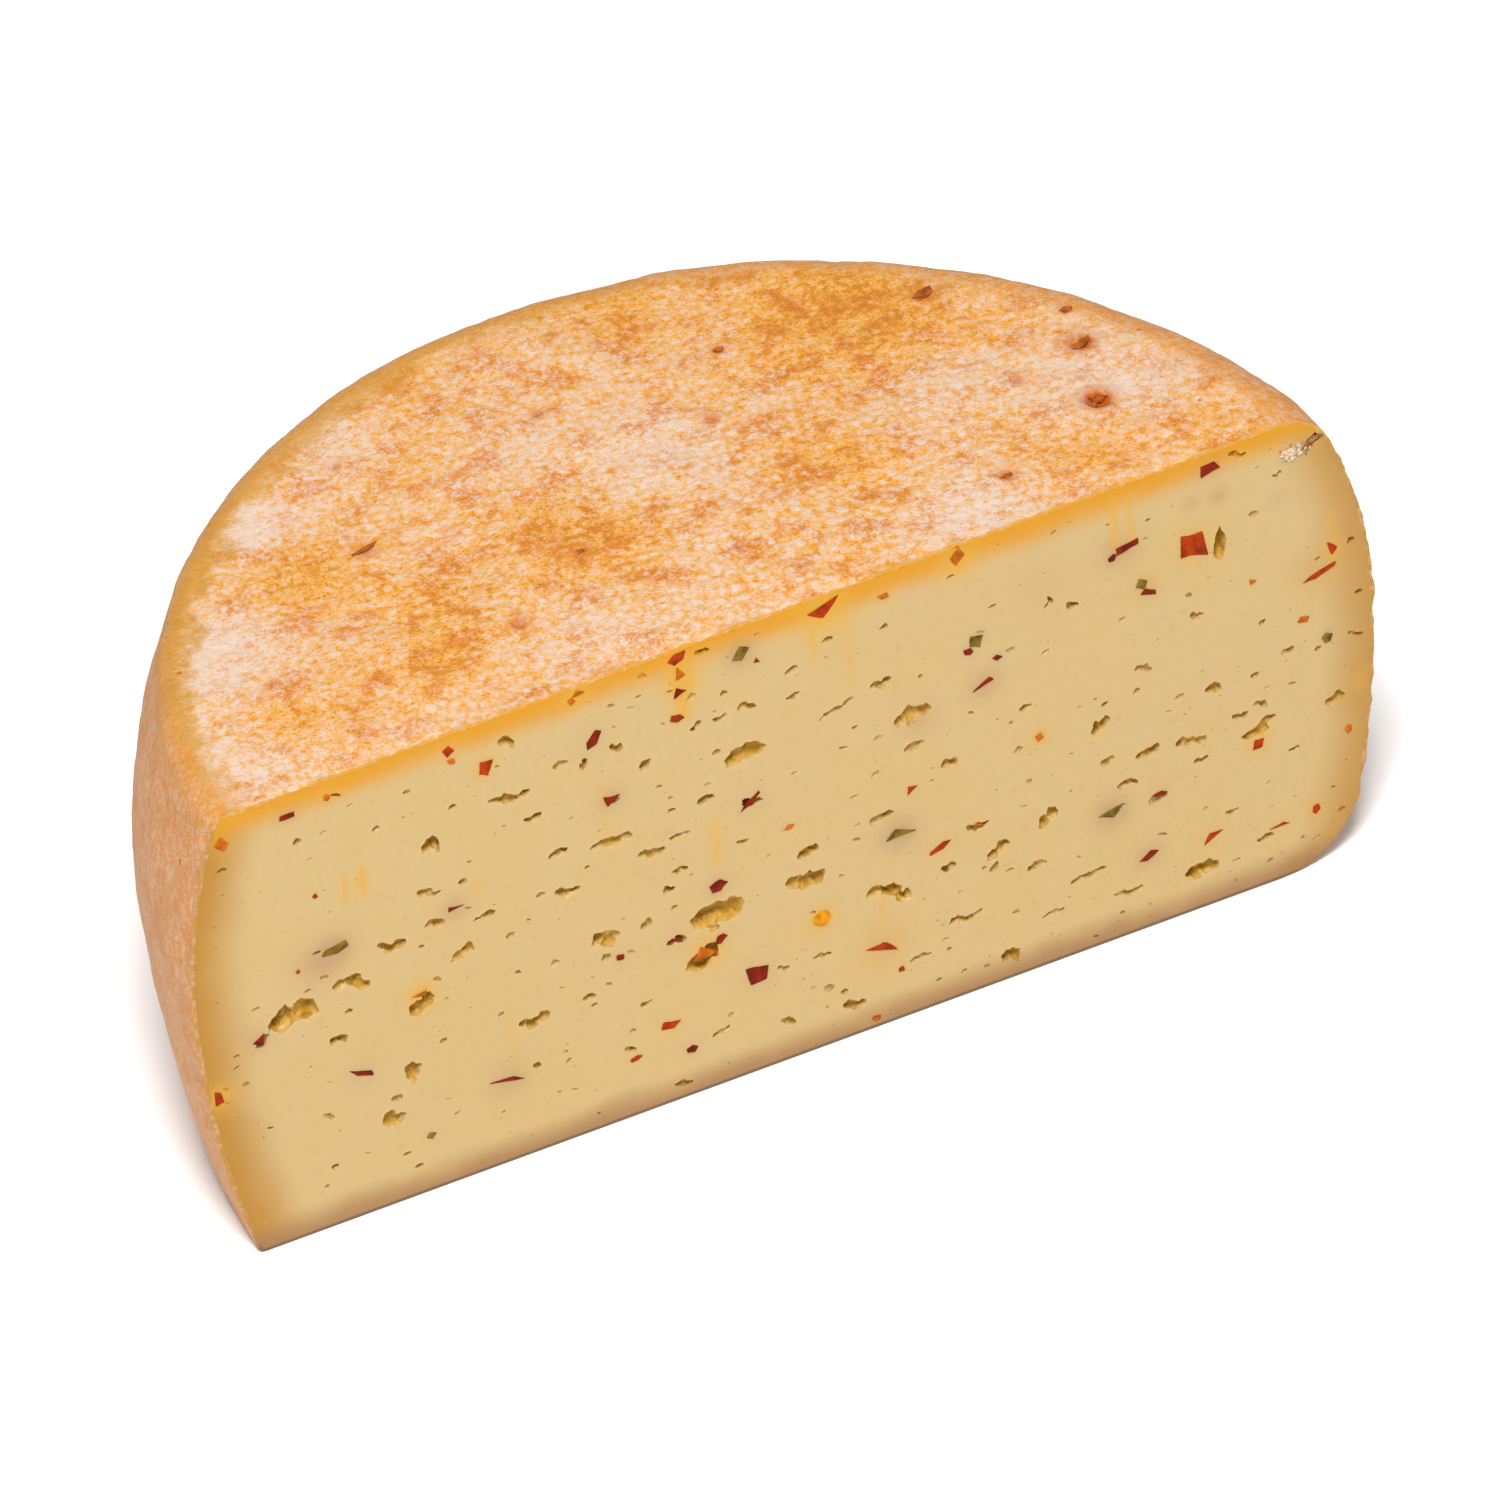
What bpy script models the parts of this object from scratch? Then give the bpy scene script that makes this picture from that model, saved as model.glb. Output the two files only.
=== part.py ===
"""Half of a small wheel of semi-hard cheese, as it lies after one straight cut down the middle.

A turned wheel with a bulging side is settled by hand-made unevenness, halved, and hollowed by the larger
eyes of the paste. Metres, +Z up. The cut face looks along -Y, its long edge runs along X, and the origin
lies on the table under the middle of the half wheel. Pairs of sizes are for the -X and the +X end of the cut.
"""

import math

import bmesh
import bpy
from mathutils import Matrix, Vector

NAME = "cheese_half_wheel"

# Driving dimensions of the wheel.
BELLY_RADIUS = 0.120
BELLY_HEIGHT = 0.058
HEIGHT = 0.1024
RISE = 0.0048  # how much taller the wheel stands at its +X end
TOP_INSET = (0.0084, 0.0115)  # from the belly back to the rim of the top
FOOT_INSET = (0.0075, 0.0076)  # from the belly back to the foot
TOP_ROUND = (0.0030, 0.0064)  # roundings of the edges
FOOT_ROUND = (0.0010, 0.0143)
OVAL = 0.010  # share by which the cut's direction is longer and the depth is shorter
BACK_SWELL = 0.039  # share by which the side opposite the cut swells out

# How finely the wheel is turned.
TURN_STEPS = 112
SIDE_STEPS = 20
TOP_RINGS = 3

# The cut and the eyes that it opens.
CUTTER_REACH = 0.2
EYE_DEPTH = 0.75  # of an eye's own height
EYE_WOBBLE = 0.16  # share by which an eye's wall strays from an ellipsoid
EYES_MM = (
    # along the cut, height, width, thickness, tilt in degrees
    (-102.0, 50.5, 9.0, 5.0, -8),
    (-90.0, 53.5, 8.0, 3.0, -20),
    (-82.0, 58.5, 6.0, 2.5, -15),
    (-68.0, 51.8, 5.0, 2.5, 20),
    (-77.0, 43.0, 5.0, 4.0, 0),
    (-84.8, 19.8, 4.0, 3.0, 0),
    (-56.0, 82.0, 9.0, 2.2, -10),
    (-37.0, 64.2, 9.5, 2.2, -3),
    (-46.5, 56.8, 5.5, 2.2, -15),
    (-29.3, 58.2, 5.5, 2.2, -10),
    (-40.0, 42.8, 6.0, 3.5, 0),
    (-17.0, 41.0, 10.0, 5.5, 0),
    (-55.5, 30.2, 6.5, 2.8, 0),
    (-20.5, 31.0, 7.0, 5.0, 10),
    (-9.2, 73.3, 8.0, 4.5, 0),
    (1.0, 39.8, 8.5, 4.0, 0),
    (24.5, 68.5, 8.5, 3.5, 0),
    (17.0, 48.0, 5.5, 2.0, 0),
    (16.5, 31.0, 8.0, 4.0, 0),
    (40.5, 31.0, 5.0, 3.0, 0),
    (51.0, 34.3, 4.5, 3.8, 0),
    (32.8, 18.0, 8.0, 2.0, 0),
    (9.0, 7.3, 5.0, 2.4, 0),
    (62.7, 50.3, 3.5, 4.0, 0),
    (72.5, 41.0, 5.5, 2.2, 0),
    (81.5, 39.8, 7.0, 2.0, -10),
    (96.0, 37.3, 8.0, 2.5, 35),
    (112.0, 37.3, 4.0, 3.0, 0),
    (89.5, 82.5, 2.5, 6.0, 0),
    (82.5, 9.0, 6.5, 3.6, 0),
)
MILLIMETRE = 0.001

RIND_COLOUR = (0.84, 0.45, 0.20, 1.0)
PASTE_COLOUR = (0.71, 0.50, 0.22, 1.0)


def between_ends(pair, turn):
    """A size that changes smoothly from the -X end (turn of half a circle) to the +X end (turn 0)."""
    minus_end, plus_end = pair
    return (minus_end + plus_end) / 2 + (plus_end - minus_end) / 2 * math.cos(turn)


def rounded_off(radius, distance):
    """How far an edge's rounding draws the side in, at this distance from the flat face."""
    if distance >= radius:
        return 0.0
    return radius - math.sqrt(radius**2 - (radius - distance) ** 2)


def side_radius(height, turn):
    """Radius of the wheel's side at a height and a direction, before the plan is made oval."""
    above = max(0.0, (height - BELLY_HEIGHT) / (HEIGHT - BELLY_HEIGHT))
    below = max(0.0, (BELLY_HEIGHT - height) / BELLY_HEIGHT)
    radius = BELLY_RADIUS
    radius -= between_ends(TOP_INSET, turn) * above**2
    radius -= between_ends(FOOT_INSET, turn) * below**2
    radius -= rounded_off(between_ends(TOP_ROUND, turn), HEIGHT - height)
    radius -= rounded_off(between_ends(FOOT_ROUND, turn), height)
    return radius


def plan_share(turn):
    """How far the uneven plan stands out from a true circle in one direction."""
    return 1 + OVAL * math.cos(2 * turn) + BACK_SWELL * math.sin(turn) ** 3


def half_depth():
    """Half the distance from the cut face to the back of the belly."""
    return BELLY_RADIUS * plan_share(math.pi / 2) / 2


def even_radius(height):
    """Radius of the wheel as it is turned, halfway between its two ends."""
    return side_radius(height, math.pi / 2)


def turned_profile():
    """Half section from the middle of the top, down the outer side, to the middle of the base."""
    # The heights crowd together towards both edges, where the section turns fastest, and one is at the belly.
    heights = [HEIGHT * (1 + math.cos(math.pi * i / SIDE_STEPS)) / 2 for i in range(SIDE_STEPS + 1)]
    nearest = min(range(len(heights)), key=lambda i: abs(heights[i] - BELLY_HEIGHT))
    heights[nearest] = BELLY_HEIGHT
    across_top = [(even_radius(HEIGHT) * i / TOP_RINGS, HEIGHT) for i in range(TOP_RINGS)]
    side = [(even_radius(height), height) for height in heights]
    return across_top + side + [(0.0, 0.0)]


def new_object(name, mesh, collection):
    made = bpy.data.objects.new(name, mesh)
    collection.objects.link(made)
    return made


def turned_wheel(collection):
    """The whole wheel as one closed mesh, turned from its half section by a Screw modifier."""
    points = [(x, 0.0, z) for x, z in turned_profile()]
    mesh = bpy.data.meshes.new("half_section")
    mesh.from_pydata(points, [(i, i + 1) for i in range(len(points) - 1)], [])
    section = new_object("half_section", mesh, collection)
    screw = section.modifiers.new("Turn", "SCREW")
    screw.axis = "Z"
    screw.angle = 2 * math.pi
    screw.steps = TURN_STEPS
    screw.render_steps = TURN_STEPS
    screw.use_merge_vertices = True
    screw.merge_threshold = 0.00002
    evaluated = section.evaluated_get(bpy.context.evaluated_depsgraph_get())
    wheel = bpy.data.meshes.new_from_object(evaluated)
    bpy.data.objects.remove(section)
    return wheel


def settle(wheel):
    """Gives the turned wheel its unlike ends, its oval plan and its slope, and puts the cut's plane in place."""
    for vertex in wheel.vertices:
        x, y, z = vertex.co
        turn = math.atan2(y, x)
        share = side_radius(z, turn) / even_radius(z) * plan_share(turn)
        x, y = x * share, y * share
        taller = 1 + RISE / HEIGHT * x / (2 * BELLY_RADIUS)
        vertex.co = (x, y - half_depth(), z * taller)


def front_half_cutter(collection):
    """A block that takes away everything in front of the cut."""
    shape = bmesh.new()
    bmesh.ops.create_cube(shape, size=CUTTER_REACH * 2)
    bmesh.ops.translate(shape, verts=shape.verts, vec=(0, -half_depth() - CUTTER_REACH, 0))
    mesh = bpy.data.meshes.new("front_half_cutter")
    shape.to_mesh(mesh)
    shape.free()
    return new_object(mesh.name, mesh, collection)


def add_eye(shape, along, height, width, thickness, tilt):
    """Adds one uneven ellipsoid, centred on the cut's plane, to the cutter of all the eyes."""
    made = bmesh.ops.create_icosphere(shape, subdivisions=2, radius=1.0)["verts"]
    for vertex in made:
        angle = math.atan2(vertex.co.z, vertex.co.x)
        vertex.co *= 1 + EYE_WOBBLE * math.sin(3 * angle + along / MILLIMETRE)
    half_sizes = Vector((width / 2, thickness * EYE_DEPTH, thickness / 2))
    tilted = Matrix.Rotation(-math.radians(tilt), 4, "Y")
    placed = Matrix.Translation((along, -half_depth(), height)) @ tilted @ Matrix.Diagonal(half_sizes).to_4x4()
    bmesh.ops.transform(shape, matrix=placed, verts=made)


def eyes_cutter(collection):
    """The larger eyes, as one mesh of separate hollows."""
    shape = bmesh.new()
    for along, height, width, thickness, tilt in EYES_MM:
        sizes = [size * MILLIMETRE for size in (along, height, width, thickness)]
        add_eye(shape, *sizes, tilt)
    mesh = bpy.data.meshes.new("eyes_cutter")
    shape.to_mesh(mesh)
    shape.free()
    return new_object(mesh.name, mesh, collection)


def cut(target, cutter):
    """Takes the cutter out of the target with a live Boolean, and keeps the cutter as a wire guide."""
    cutter.hide_render = True
    cutter.display_type = "WIRE"
    difference = target.modifiers.new(cutter.name, "BOOLEAN")
    difference.operation = "DIFFERENCE"
    difference.solver = "EXACT"
    difference.material_mode = "TRANSFER"
    difference.object = cutter


def waxy_material(name, colour, roughness):
    material = bpy.data.materials.new(name)
    material.use_nodes = True
    principled = material.node_tree.nodes["Principled BSDF"]
    principled.inputs["Base Color"].default_value = colour
    principled.inputs["Roughness"].default_value = roughness
    principled.inputs["Metallic"].default_value = 0.0
    return material


def new_collection(name):
    collection = bpy.data.collections.new(name)
    bpy.context.scene.collection.children.link(collection)
    return collection


def half_wheel(parts, cutters):
    """The half wheel: one solid, rind outside and paste where it is cut."""
    mesh = turned_wheel(parts)
    mesh.name = NAME
    settle(mesh)
    mesh.shade_smooth()
    mesh.set_sharp_from_angle(angle=math.radians(35))
    mesh.materials.append(waxy_material("rind", RIND_COLOUR, 0.6))
    cheese = new_object(NAME, mesh, parts)
    paste = waxy_material("paste", PASTE_COLOUR, 0.5)
    for cutter in (front_half_cutter(cutters), eyes_cutter(cutters)):
        cutter.data.materials.append(paste)
        cut(cheese, cutter)
    return cheese


def main():
    for old in list(bpy.data.objects):
        bpy.data.objects.remove(old)
    half_wheel(new_collection("cheese_wheel"), new_collection("cutters"))


main()
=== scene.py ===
"""Half a wheel of semi-hard cheese with pepper flakes: rind, cut paste with its eyes, flakes and crumbs.

Laid out as an add-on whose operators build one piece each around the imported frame. Lengths are in metres
unless a name ends in _MM. Places on the cut face are (along the cut from the wheel's axis, height), and
places on the top are (along the cut, back from the cut).
"""

import math
import random

import bmesh
import bpy
import numpy as np
from mathutils import Matrix, Vector, noise


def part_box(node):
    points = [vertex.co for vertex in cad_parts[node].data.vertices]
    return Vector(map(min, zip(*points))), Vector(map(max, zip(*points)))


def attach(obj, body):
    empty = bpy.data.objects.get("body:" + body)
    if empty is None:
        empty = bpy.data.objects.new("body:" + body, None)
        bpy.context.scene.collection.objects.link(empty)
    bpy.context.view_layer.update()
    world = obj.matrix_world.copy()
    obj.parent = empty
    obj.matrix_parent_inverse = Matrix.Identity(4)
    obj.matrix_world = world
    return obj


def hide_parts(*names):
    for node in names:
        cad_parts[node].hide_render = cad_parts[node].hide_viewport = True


bl_info = {
    "name": "Half cheese wheel",
    "version": (1, 0, 0),
    "blender": (4, 5, 0),
    "location": "3D View > Sidebar > Cheese",
    "description": "Builds half a wheel of cheese with rind, eyes and pepper flakes",
    "category": "Add Mesh",
}

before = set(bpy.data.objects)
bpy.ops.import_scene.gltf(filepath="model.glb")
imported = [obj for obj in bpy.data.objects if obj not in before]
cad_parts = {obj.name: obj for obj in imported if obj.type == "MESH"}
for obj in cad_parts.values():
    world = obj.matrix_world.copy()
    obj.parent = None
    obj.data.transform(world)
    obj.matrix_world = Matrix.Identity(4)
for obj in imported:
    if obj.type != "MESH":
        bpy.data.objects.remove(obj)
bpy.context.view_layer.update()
NODE = "cheese_half_wheel"
LOW, HIGH = (Vector(corner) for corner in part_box(NODE))

MM = 0.001
CUT_Y = LOW.y

# Proportions of the wheel, as shares of its belly radius. Pairs are for the -X and the +X end of the cut.
OVAL = 0.010
BACK_SWELL = 0.039
BELLY = (HIGH.x - LOW.x) / 2 / (1 + OVAL)
HEIGHT = BELLY * 0.8533
BELLY_HEIGHT = BELLY * 0.4833
RISE = BELLY * 0.040
TOP_INSET = (BELLY * 0.0700, BELLY * 0.0958)
FOOT_INSET = (BELLY * 0.0625, BELLY * 0.0633)
TOP_ROUND = (BELLY * 0.0250, BELLY * 0.0533)
FOOT_ROUND = (BELLY * 0.0083, BELLY * 0.1192)

# The larger eyes: (along, height, width, thickness, tilt in degrees), in millimetres.
EYES_MM = (
    (-102.0, 50.5, 9.0, 4.6, -8), (-108.5, 47.6, 4.0, 1.6, 35), (-90.0, 53.5, 8.0, 2.6, -20),
    (-82.0, 58.5, 6.0, 2.3, -15), (-73.0, 60.0, 4.0, 1.8, 0), (-68.0, 51.8, 5.0, 2.3, 20),
    (-63.5, 58.0, 4.5, 1.4, 0), (-72.0, 78.5, 3.0, 3.6, 0), (-73.5, 67.5, 5.5, 1.5, -20),
    (-77.0, 43.0, 5.0, 3.6, 0), (-94.0, 41.8, 4.0, 2.3, 0), (-80.2, 29.5, 2.5, 3.6, 0),
    (-84.8, 19.8, 4.0, 2.8, 0), (-97.5, 25.5, 2.5, 1.2, -30), (-83.8, 24.0, 2.0, 1.5, 0),
    (-56.0, 82.0, 9.0, 2.0, -10), (-52.0, 75.7, 4.0, 1.9, 0), (-55.3, 94.3, 3.5, 2.1, 0),
    (-45.5, 85.5, 3.0, 1.3, 0), (-41.0, 83.5, 1.8, 2.3, 0), (-34.5, 84.8, 2.5, 1.7, 0),
    (-47.5, 66.0, 4.5, 1.9, 0), (-37.0, 64.2, 9.5, 1.9, -3), (-46.5, 56.8, 5.5, 2.0, -15),
    (-29.3, 58.2, 5.5, 2.0, -10), (-23.5, 60.2, 4.5, 1.2, 0), (-24.0, 52.7, 4.0, 1.7, 0),
    (-26.3, 49.0, 2.8, 2.2, 0), (-40.0, 42.8, 6.0, 3.2, 0), (-31.7, 42.7, 2.6, 2.0, 0),
    (-17.0, 41.0, 10.0, 5.6, 0), (-18.3, 36.2, 2.0, 1.4, 0), (-26.0, 36.5, 4.0, 2.2, 0),
    (-55.5, 30.2, 6.5, 2.6, 0), (-44.3, 31.2, 2.8, 1.4, 0), (-20.5, 31.0, 7.0, 4.6, 10),
    (-36.8, 15.8, 2.5, 1.9, 0), (-33.0, 24.9, 2.5, 1.0, 0), (-5.0, 21.8, 3.0, 1.4, 0),
    (-18.5, 12.3, 4.0, 1.4, 0), (-4.5, 9.0, 3.5, 1.3, -25), (-9.2, 73.3, 8.0, 4.2, 0),
    (-14.8, 75.8, 1.8, 1.3, 0), (-17.5, 65.8, 3.4, 1.9, 0), (-8.0, 83.8, 4.0, 1.9, 0),
    (-13.5, 83.3, 3.0, 1.2, 0), (-18.5, 83.3, 2.0, 1.9, 0), (-24.5, 66.3, 2.2, 1.2, 0),
    (-29.0, 78.5, 2.0, 2.7, 0), (-11.0, 54.0, 3.0, 1.2, 0), (-16.0, 99.3, 3.5, 1.2, 0),
    (-8.5, 62.0, 4.0, 2.0, 0), (1.8, 46.0, 4.5, 2.0, 10), (1.0, 39.8, 8.5, 3.7, 0),
    (1.2, 88.5, 2.5, 1.5, 0), (1.0, 82.3, 3.0, 1.3, 0), (9.5, 76.0, 9.0, 1.1, 15),
    (19.0, 78.0, 4.5, 1.9, 0), (24.5, 68.5, 8.5, 3.2, 0), (24.7, 61.4, 4.0, 1.7, 0),
    (47.8, 61.2, 3.0, 1.3, 0), (31.8, 55.0, 3.6, 2.0, 0), (17.0, 48.0, 5.5, 1.8, 0),
    (16.5, 31.0, 8.0, 3.6, 0), (20.5, 28.0, 3.2, 2.4, 0), (30.0, 30.8, 2.8, 2.2, 0),
    (40.5, 31.0, 5.0, 2.8, 0), (39.5, 27.0, 1.8, 2.6, 0), (51.0, 34.3, 4.5, 3.5, 0),
    (48.0, 24.2, 4.5, 1.7, 0), (32.8, 18.0, 8.0, 1.6, 0), (58.5, 17.5, 9.0, 1.5, 0),
    (51.0, 11.7, 5.5, 1.1, 0), (9.0, 7.3, 5.0, 2.2, 0), (41.7, 5.2, 4.0, 3.4, 0),
    (23.3, 12.7, 5.0, 1.1, 0), (3.2, 21.3, 4.5, 1.2, 0), (53.8, 83.0, 2.0, 2.0, 0),
    (58.8, 79.8, 2.8, 2.2, 0), (62.7, 50.3, 3.5, 3.7, 0), (64.0, 42.0, 3.0, 1.5, 0),
    (72.5, 41.0, 5.5, 2.0, 0), (81.5, 39.8, 7.0, 1.9, -10), (68.0, 35.3, 5.0, 1.5, 0),
    (83.5, 34.8, 3.5, 1.4, 0), (92.0, 41.3, 4.0, 1.9, 0), (96.5, 42.6, 3.0, 1.7, 0),
    (96.0, 37.3, 8.0, 2.2, 35), (112.0, 37.3, 4.0, 2.7, 0), (102.7, 52.5, 3.0, 1.5, 0),
    (117.0, 51.0, 3.5, 1.2, -30), (86.8, 50.3, 2.5, 2.7, 0), (84.0, 68.0, 3.0, 1.7, 0),
    (72.5, 60.5, 3.8, 1.5, -20), (89.8, 82.5, 2.2, 5.6, -8), (94.0, 101.0, 4.5, 1.2, -25),
    (102.0, 93.5, 2.2, 1.0, 0), (82.5, 9.0, 6.5, 3.3, 0), (96.0, 11.0, 4.0, 1.3, 0),
    (67.0, 10.3, 7.0, 1.3, 0), (103.0, 29.5, 3.0, 1.2, 0), (89.5, 20.0, 3.0, 1.0, 0),
    (36.5, 38.0, 5.0, 1.7, 8), (74.2, 29.6, 4.5, 1.7, 0), (-27.0, 3.4, 4.0, 1.6, 0),
)
# Flakes that lie across the cut, one table for each kind, in the same form as the eyes.
RED_MM = (
    (-67.0, 97.0, 2.0, 2.0, 0), (-60.2, 90.5, 2.6, 3.5, -20), (-118.2, 38.5, 1.8, 3.4, 0),
    (-95.4, 75.6, 1.0, 1.0, 0), (-100.3, 60.3, 0.9, 0.9, 0), (-22.0, 86.5, 2.5, 1.7, 0),
    (-21.0, 99.6, 3.3, 2.4, 20), (8.5, 99.2, 7.5, 3.0, 16, 3), (23.5, 52.0, 2.4, 1.6, 20),
    (28.5, 36.3, 4.5, 1.1, 20), (84.0, 84.3, 6.2, 6.2, -10, 4), (112.7, 72.5, 2.0, 3.5, 20),
    (110.0, 67.8, 6.6, 1.1, 14, 5), (-36.0, 13.2, 2.2, 1.0, 0), (19.0, 11.5, 1.3, 1.2, 0),
    (15.5, 18.0, 8.0, 1.7, -20), (85.0, 16.0, 5.0, 1.6, 25), (-28.6, 18.0, 3.8, 1.9, 0),
    (-5.4, 93.0, 1.2, 1.2, 0), (95.6, 33.6, 2.6, 2.0, 30), (99.5, 12.8, 4.0, 0.7, 0),
    (107.2, 13.5, 1.6, 1.9, 0),
)
CRIMSON_MM = (
    (-99.0, 95.2, 3.5, 1.2, 0), (-69.0, 62.0, 3.5, 1.1, 0), (-109.0, 48.0, 2.5, 2.3, 0),
    (-90.0, 32.5, 5.0, 1.2, -25), (-61.5, 19.0, 7.0, 1.2, -10), (-38.7, 88.3, 4.0, 1.8, 45),
    (-36.5, 73.7, 3.5, 2.6, 0), (-16.7, 45.7, 3.2, 2.2, 0), (-37.3, 37.6, 1.8, 1.3, 0),
    (-10.2, 22.3, 4.8, 4.2, -4, 4), (-24.7, 10.7, 2.2, 1.5, 0), (-17.0, 33.6, 2.4, 1.6, 20),
    (88.0, 100.2, 4.2, 2.6, 10, 4), (70.5, 89.2, 5.5, 1.7, 12, 4), (67.3, 87.8, 1.6, 1.4, 0),
    (37.0, 78.2, 1.8, 1.6, 0), (74.5, 77.3, 3.5, 1.4, -20), (74.5, 30.3, 3.0, 0.9, 0),
    (71.5, 16.8, 4.0, 1.6, 20), (40.0, 70.0, 5.0, 1.4, 18), (42.7, 74.7, 1.8, 1.3, 0),
    (-26.0, 37.1, 3.4, 0.9, 0), (-21.2, 92.0, 2.8, 2.1, 20), (-8.7, 62.3, 4.6, 0.9, 40),
)
ORANGE_MM = (
    (-112.0, 94.0, 2.4, 3.2, 0), (-91.0, 96.2, 1.2, 1.2, 0), (-42.3, 98.4, 1.4, 1.4, 0),
    (-41.0, 99.6, 2.6, 1.4, 0), (-20.8, 96.0, 2.0, 3.0, 20), (-20.5, 31.5, 4.5, 3.0, 15),
    (36.0, 100.3, 2.4, 3.8, 0), (20.7, 97.3, 2.2, 1.2, 0), (36.5, 38.3, 2.0, 1.2, 0),
    (13.2, 2.2, 1.6, 1.4, 0), (50.3, 53.3, 1.6, 2.0, 0), (95.8, 71.3, 1.5, 1.3, 0),
    (106.2, 58.5, 2.4, 1.6, 0), (-1.5, 53.3, 1.8, 1.1, 0), (-66.5, 94.5, 1.6, 1.2, 0),
    (114.7, 29.5, 1.5, 1.7, 0), (-77.0, 45.4, 3.2, 1.2, 0), (108.9, 97.2, 2.6, 1.1, 25),
)
HERB_MM = (
    (-92.5, 62.3, 5.0, 2.0, 12), (-8.5, 95.7, 3.6, 2.2, 35), (38.6, 80.0, 2.8, 3.2, 0),
    (20.5, 42.8, 6.5, 1.9, -6), (64.3, 30.0, 5.5, 2.3, 15), (111.0, 52.3, 1.9, 2.4, 0),
    (73.0, 79.6, 2.2, 2.8, 0), (-78.0, 12.7, 1.8, 1.3, 0),
)
SEED_MM = (3.6, 29.7, 4.4)
# Soft stains under the surface, as (along, height, radius, strength): oil is orange, bruise is purple grey.
OIL_MM = (
    (-20.5, 94.0, 4.0, 0.9), (3.6, 29.7, 3.2, 0.9), (84.0, 84.3, 5.0, 0.25), (-77.0, 45.0, 4.0, 0.6),
    (117.5, 40.0, 3.0, 0.4), (-118.5, 38.5, 4.0, 0.5), (-20.0, 31.5, 4.5, 0.5), (36.0, 99.0, 4.5, 0.7),
    (8.5, 98.5, 6.0, 0.6), (-60.0, 91.0, 3.0, 0.35), (74.0, 79.0, 3.5, 0.35), (95.5, 34.5, 4.0, 0.35),
    (107.0, 14.0, 3.0, 0.4), (50.3, 53.3, 2.5, 0.5), (-42.0, 99.0, 3.5, 0.6), (-91.0, 96.5, 2.5, 0.4),
)
BRUISE_MM = (
    (-96.0, 60.5, 6.0, 0.6), (-92.5, 62.3, 3.5, 0.5), (-8.5, 95.7, 4.0, 0.5), (20.5, 42.8, 4.5, 0.5),
    (64.3, 30.0, 4.5, 0.5), (26.0, 67.0, 4.5, 0.5), (68.0, 89.0, 4.5, 0.35), (89.7, 93.2, 2.2, 0.6),
    (110.0, 70.0, 6.0, 0.4), (15.5, 18.0, 5.0, 0.35), (-69.0, 62.0, 3.5, 0.3), (-61.5, 19.0, 4.0, 0.25),
    (40.0, 70.0, 4.0, 0.35), (-36.5, 73.7, 3.5, 0.3), (-16.7, 45.7, 3.0, 0.25), (71.5, 16.8, 3.5, 0.3),
    (52.0, 88.0, 7.0, 0.15), (-109.0, 48.0, 3.5, 0.3), (84.0, 94.0, 2.0, 0.4), (102.0, 88.0, 3.0, 0.2),
)
# Where the knife dragged oil down the face: (along, lowest, highest, width, strength).
STREAKS_MM = (
    (-89.5, 70.0, 79.0, 0.7, 0.7), (-86.0, 70.0, 79.5, 0.8, 0.8), (-87.5, 72.0, 78.0, 0.5, 0.4),
    (-64.0, 62.0, 67.0, 1.6, 0.5), (-16.5, 49.0, 62.0, 1.0, 0.55), (-20.5, 84.0, 100.0, 1.8, 0.7),
    (6.0, 86.0, 96.0, 0.8, 0.5), (68.0, 88.0, 102.0, 0.9, 0.7), (71.3, 88.0, 102.0, 0.8, 0.6),
    (-38.0, 60.0, 80.0, 0.9, 0.2), (13.0, 78.0, 97.0, 1.4, 0.25), (-60.0, 20.0, 38.0, 0.9, 0.25),
    (16.0, 22.0, 34.0, 0.8, 0.3), (-100.0, 20.0, 34.0, 0.8, 0.2), (45.0, 10.0, 24.0, 0.9, 0.2),
    (113.0, 68.0, 82.0, 1.3, 0.35),
)
# Patches on the top, as (along, back from the cut, radius, strength): pale bloom and bare orange rind.
BLOOM_MM = (
    (-92.0, 45.0, 17.0, 0.75), (-98.0, 12.0, 16.0, 0.45), (-72.0, 75.0, 10.0, 0.7),
    (-45.0, 88.0, 16.0, 0.25), (85.0, 30.0, 18.0, 0.5), (60.0, 45.0, 14.0, 0.4),
    (40.0, 8.0, 22.0, 0.35), (-35.0, 12.0, 18.0, 0.3), (5.0, 60.0, 18.0, 0.35),
    (92.0, 55.0, 14.0, 0.3), (30.0, 92.0, 14.0, 0.2), (-20.0, 75.0, 12.0, 0.2),
)
BARE_MM = (
    (50.0, 75.0, 20.0, 0.6), (20.0, 98.0, 18.0, 0.5), (-20.0, 40.0, 15.0, 0.5),
    (30.0, 30.0, 16.0, 0.5), (-70.0, 58.0, 13.0, 0.5), (-88.0, 18.0, 10.0, 0.5),
    (-58.0, 24.0, 14.0, 0.3), (-30.0, 100.0, 14.0, 0.3), (70.0, 12.0, 10.0, 0.3),
    (-60.0, 40.0, 10.0, 0.3),
)
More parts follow.
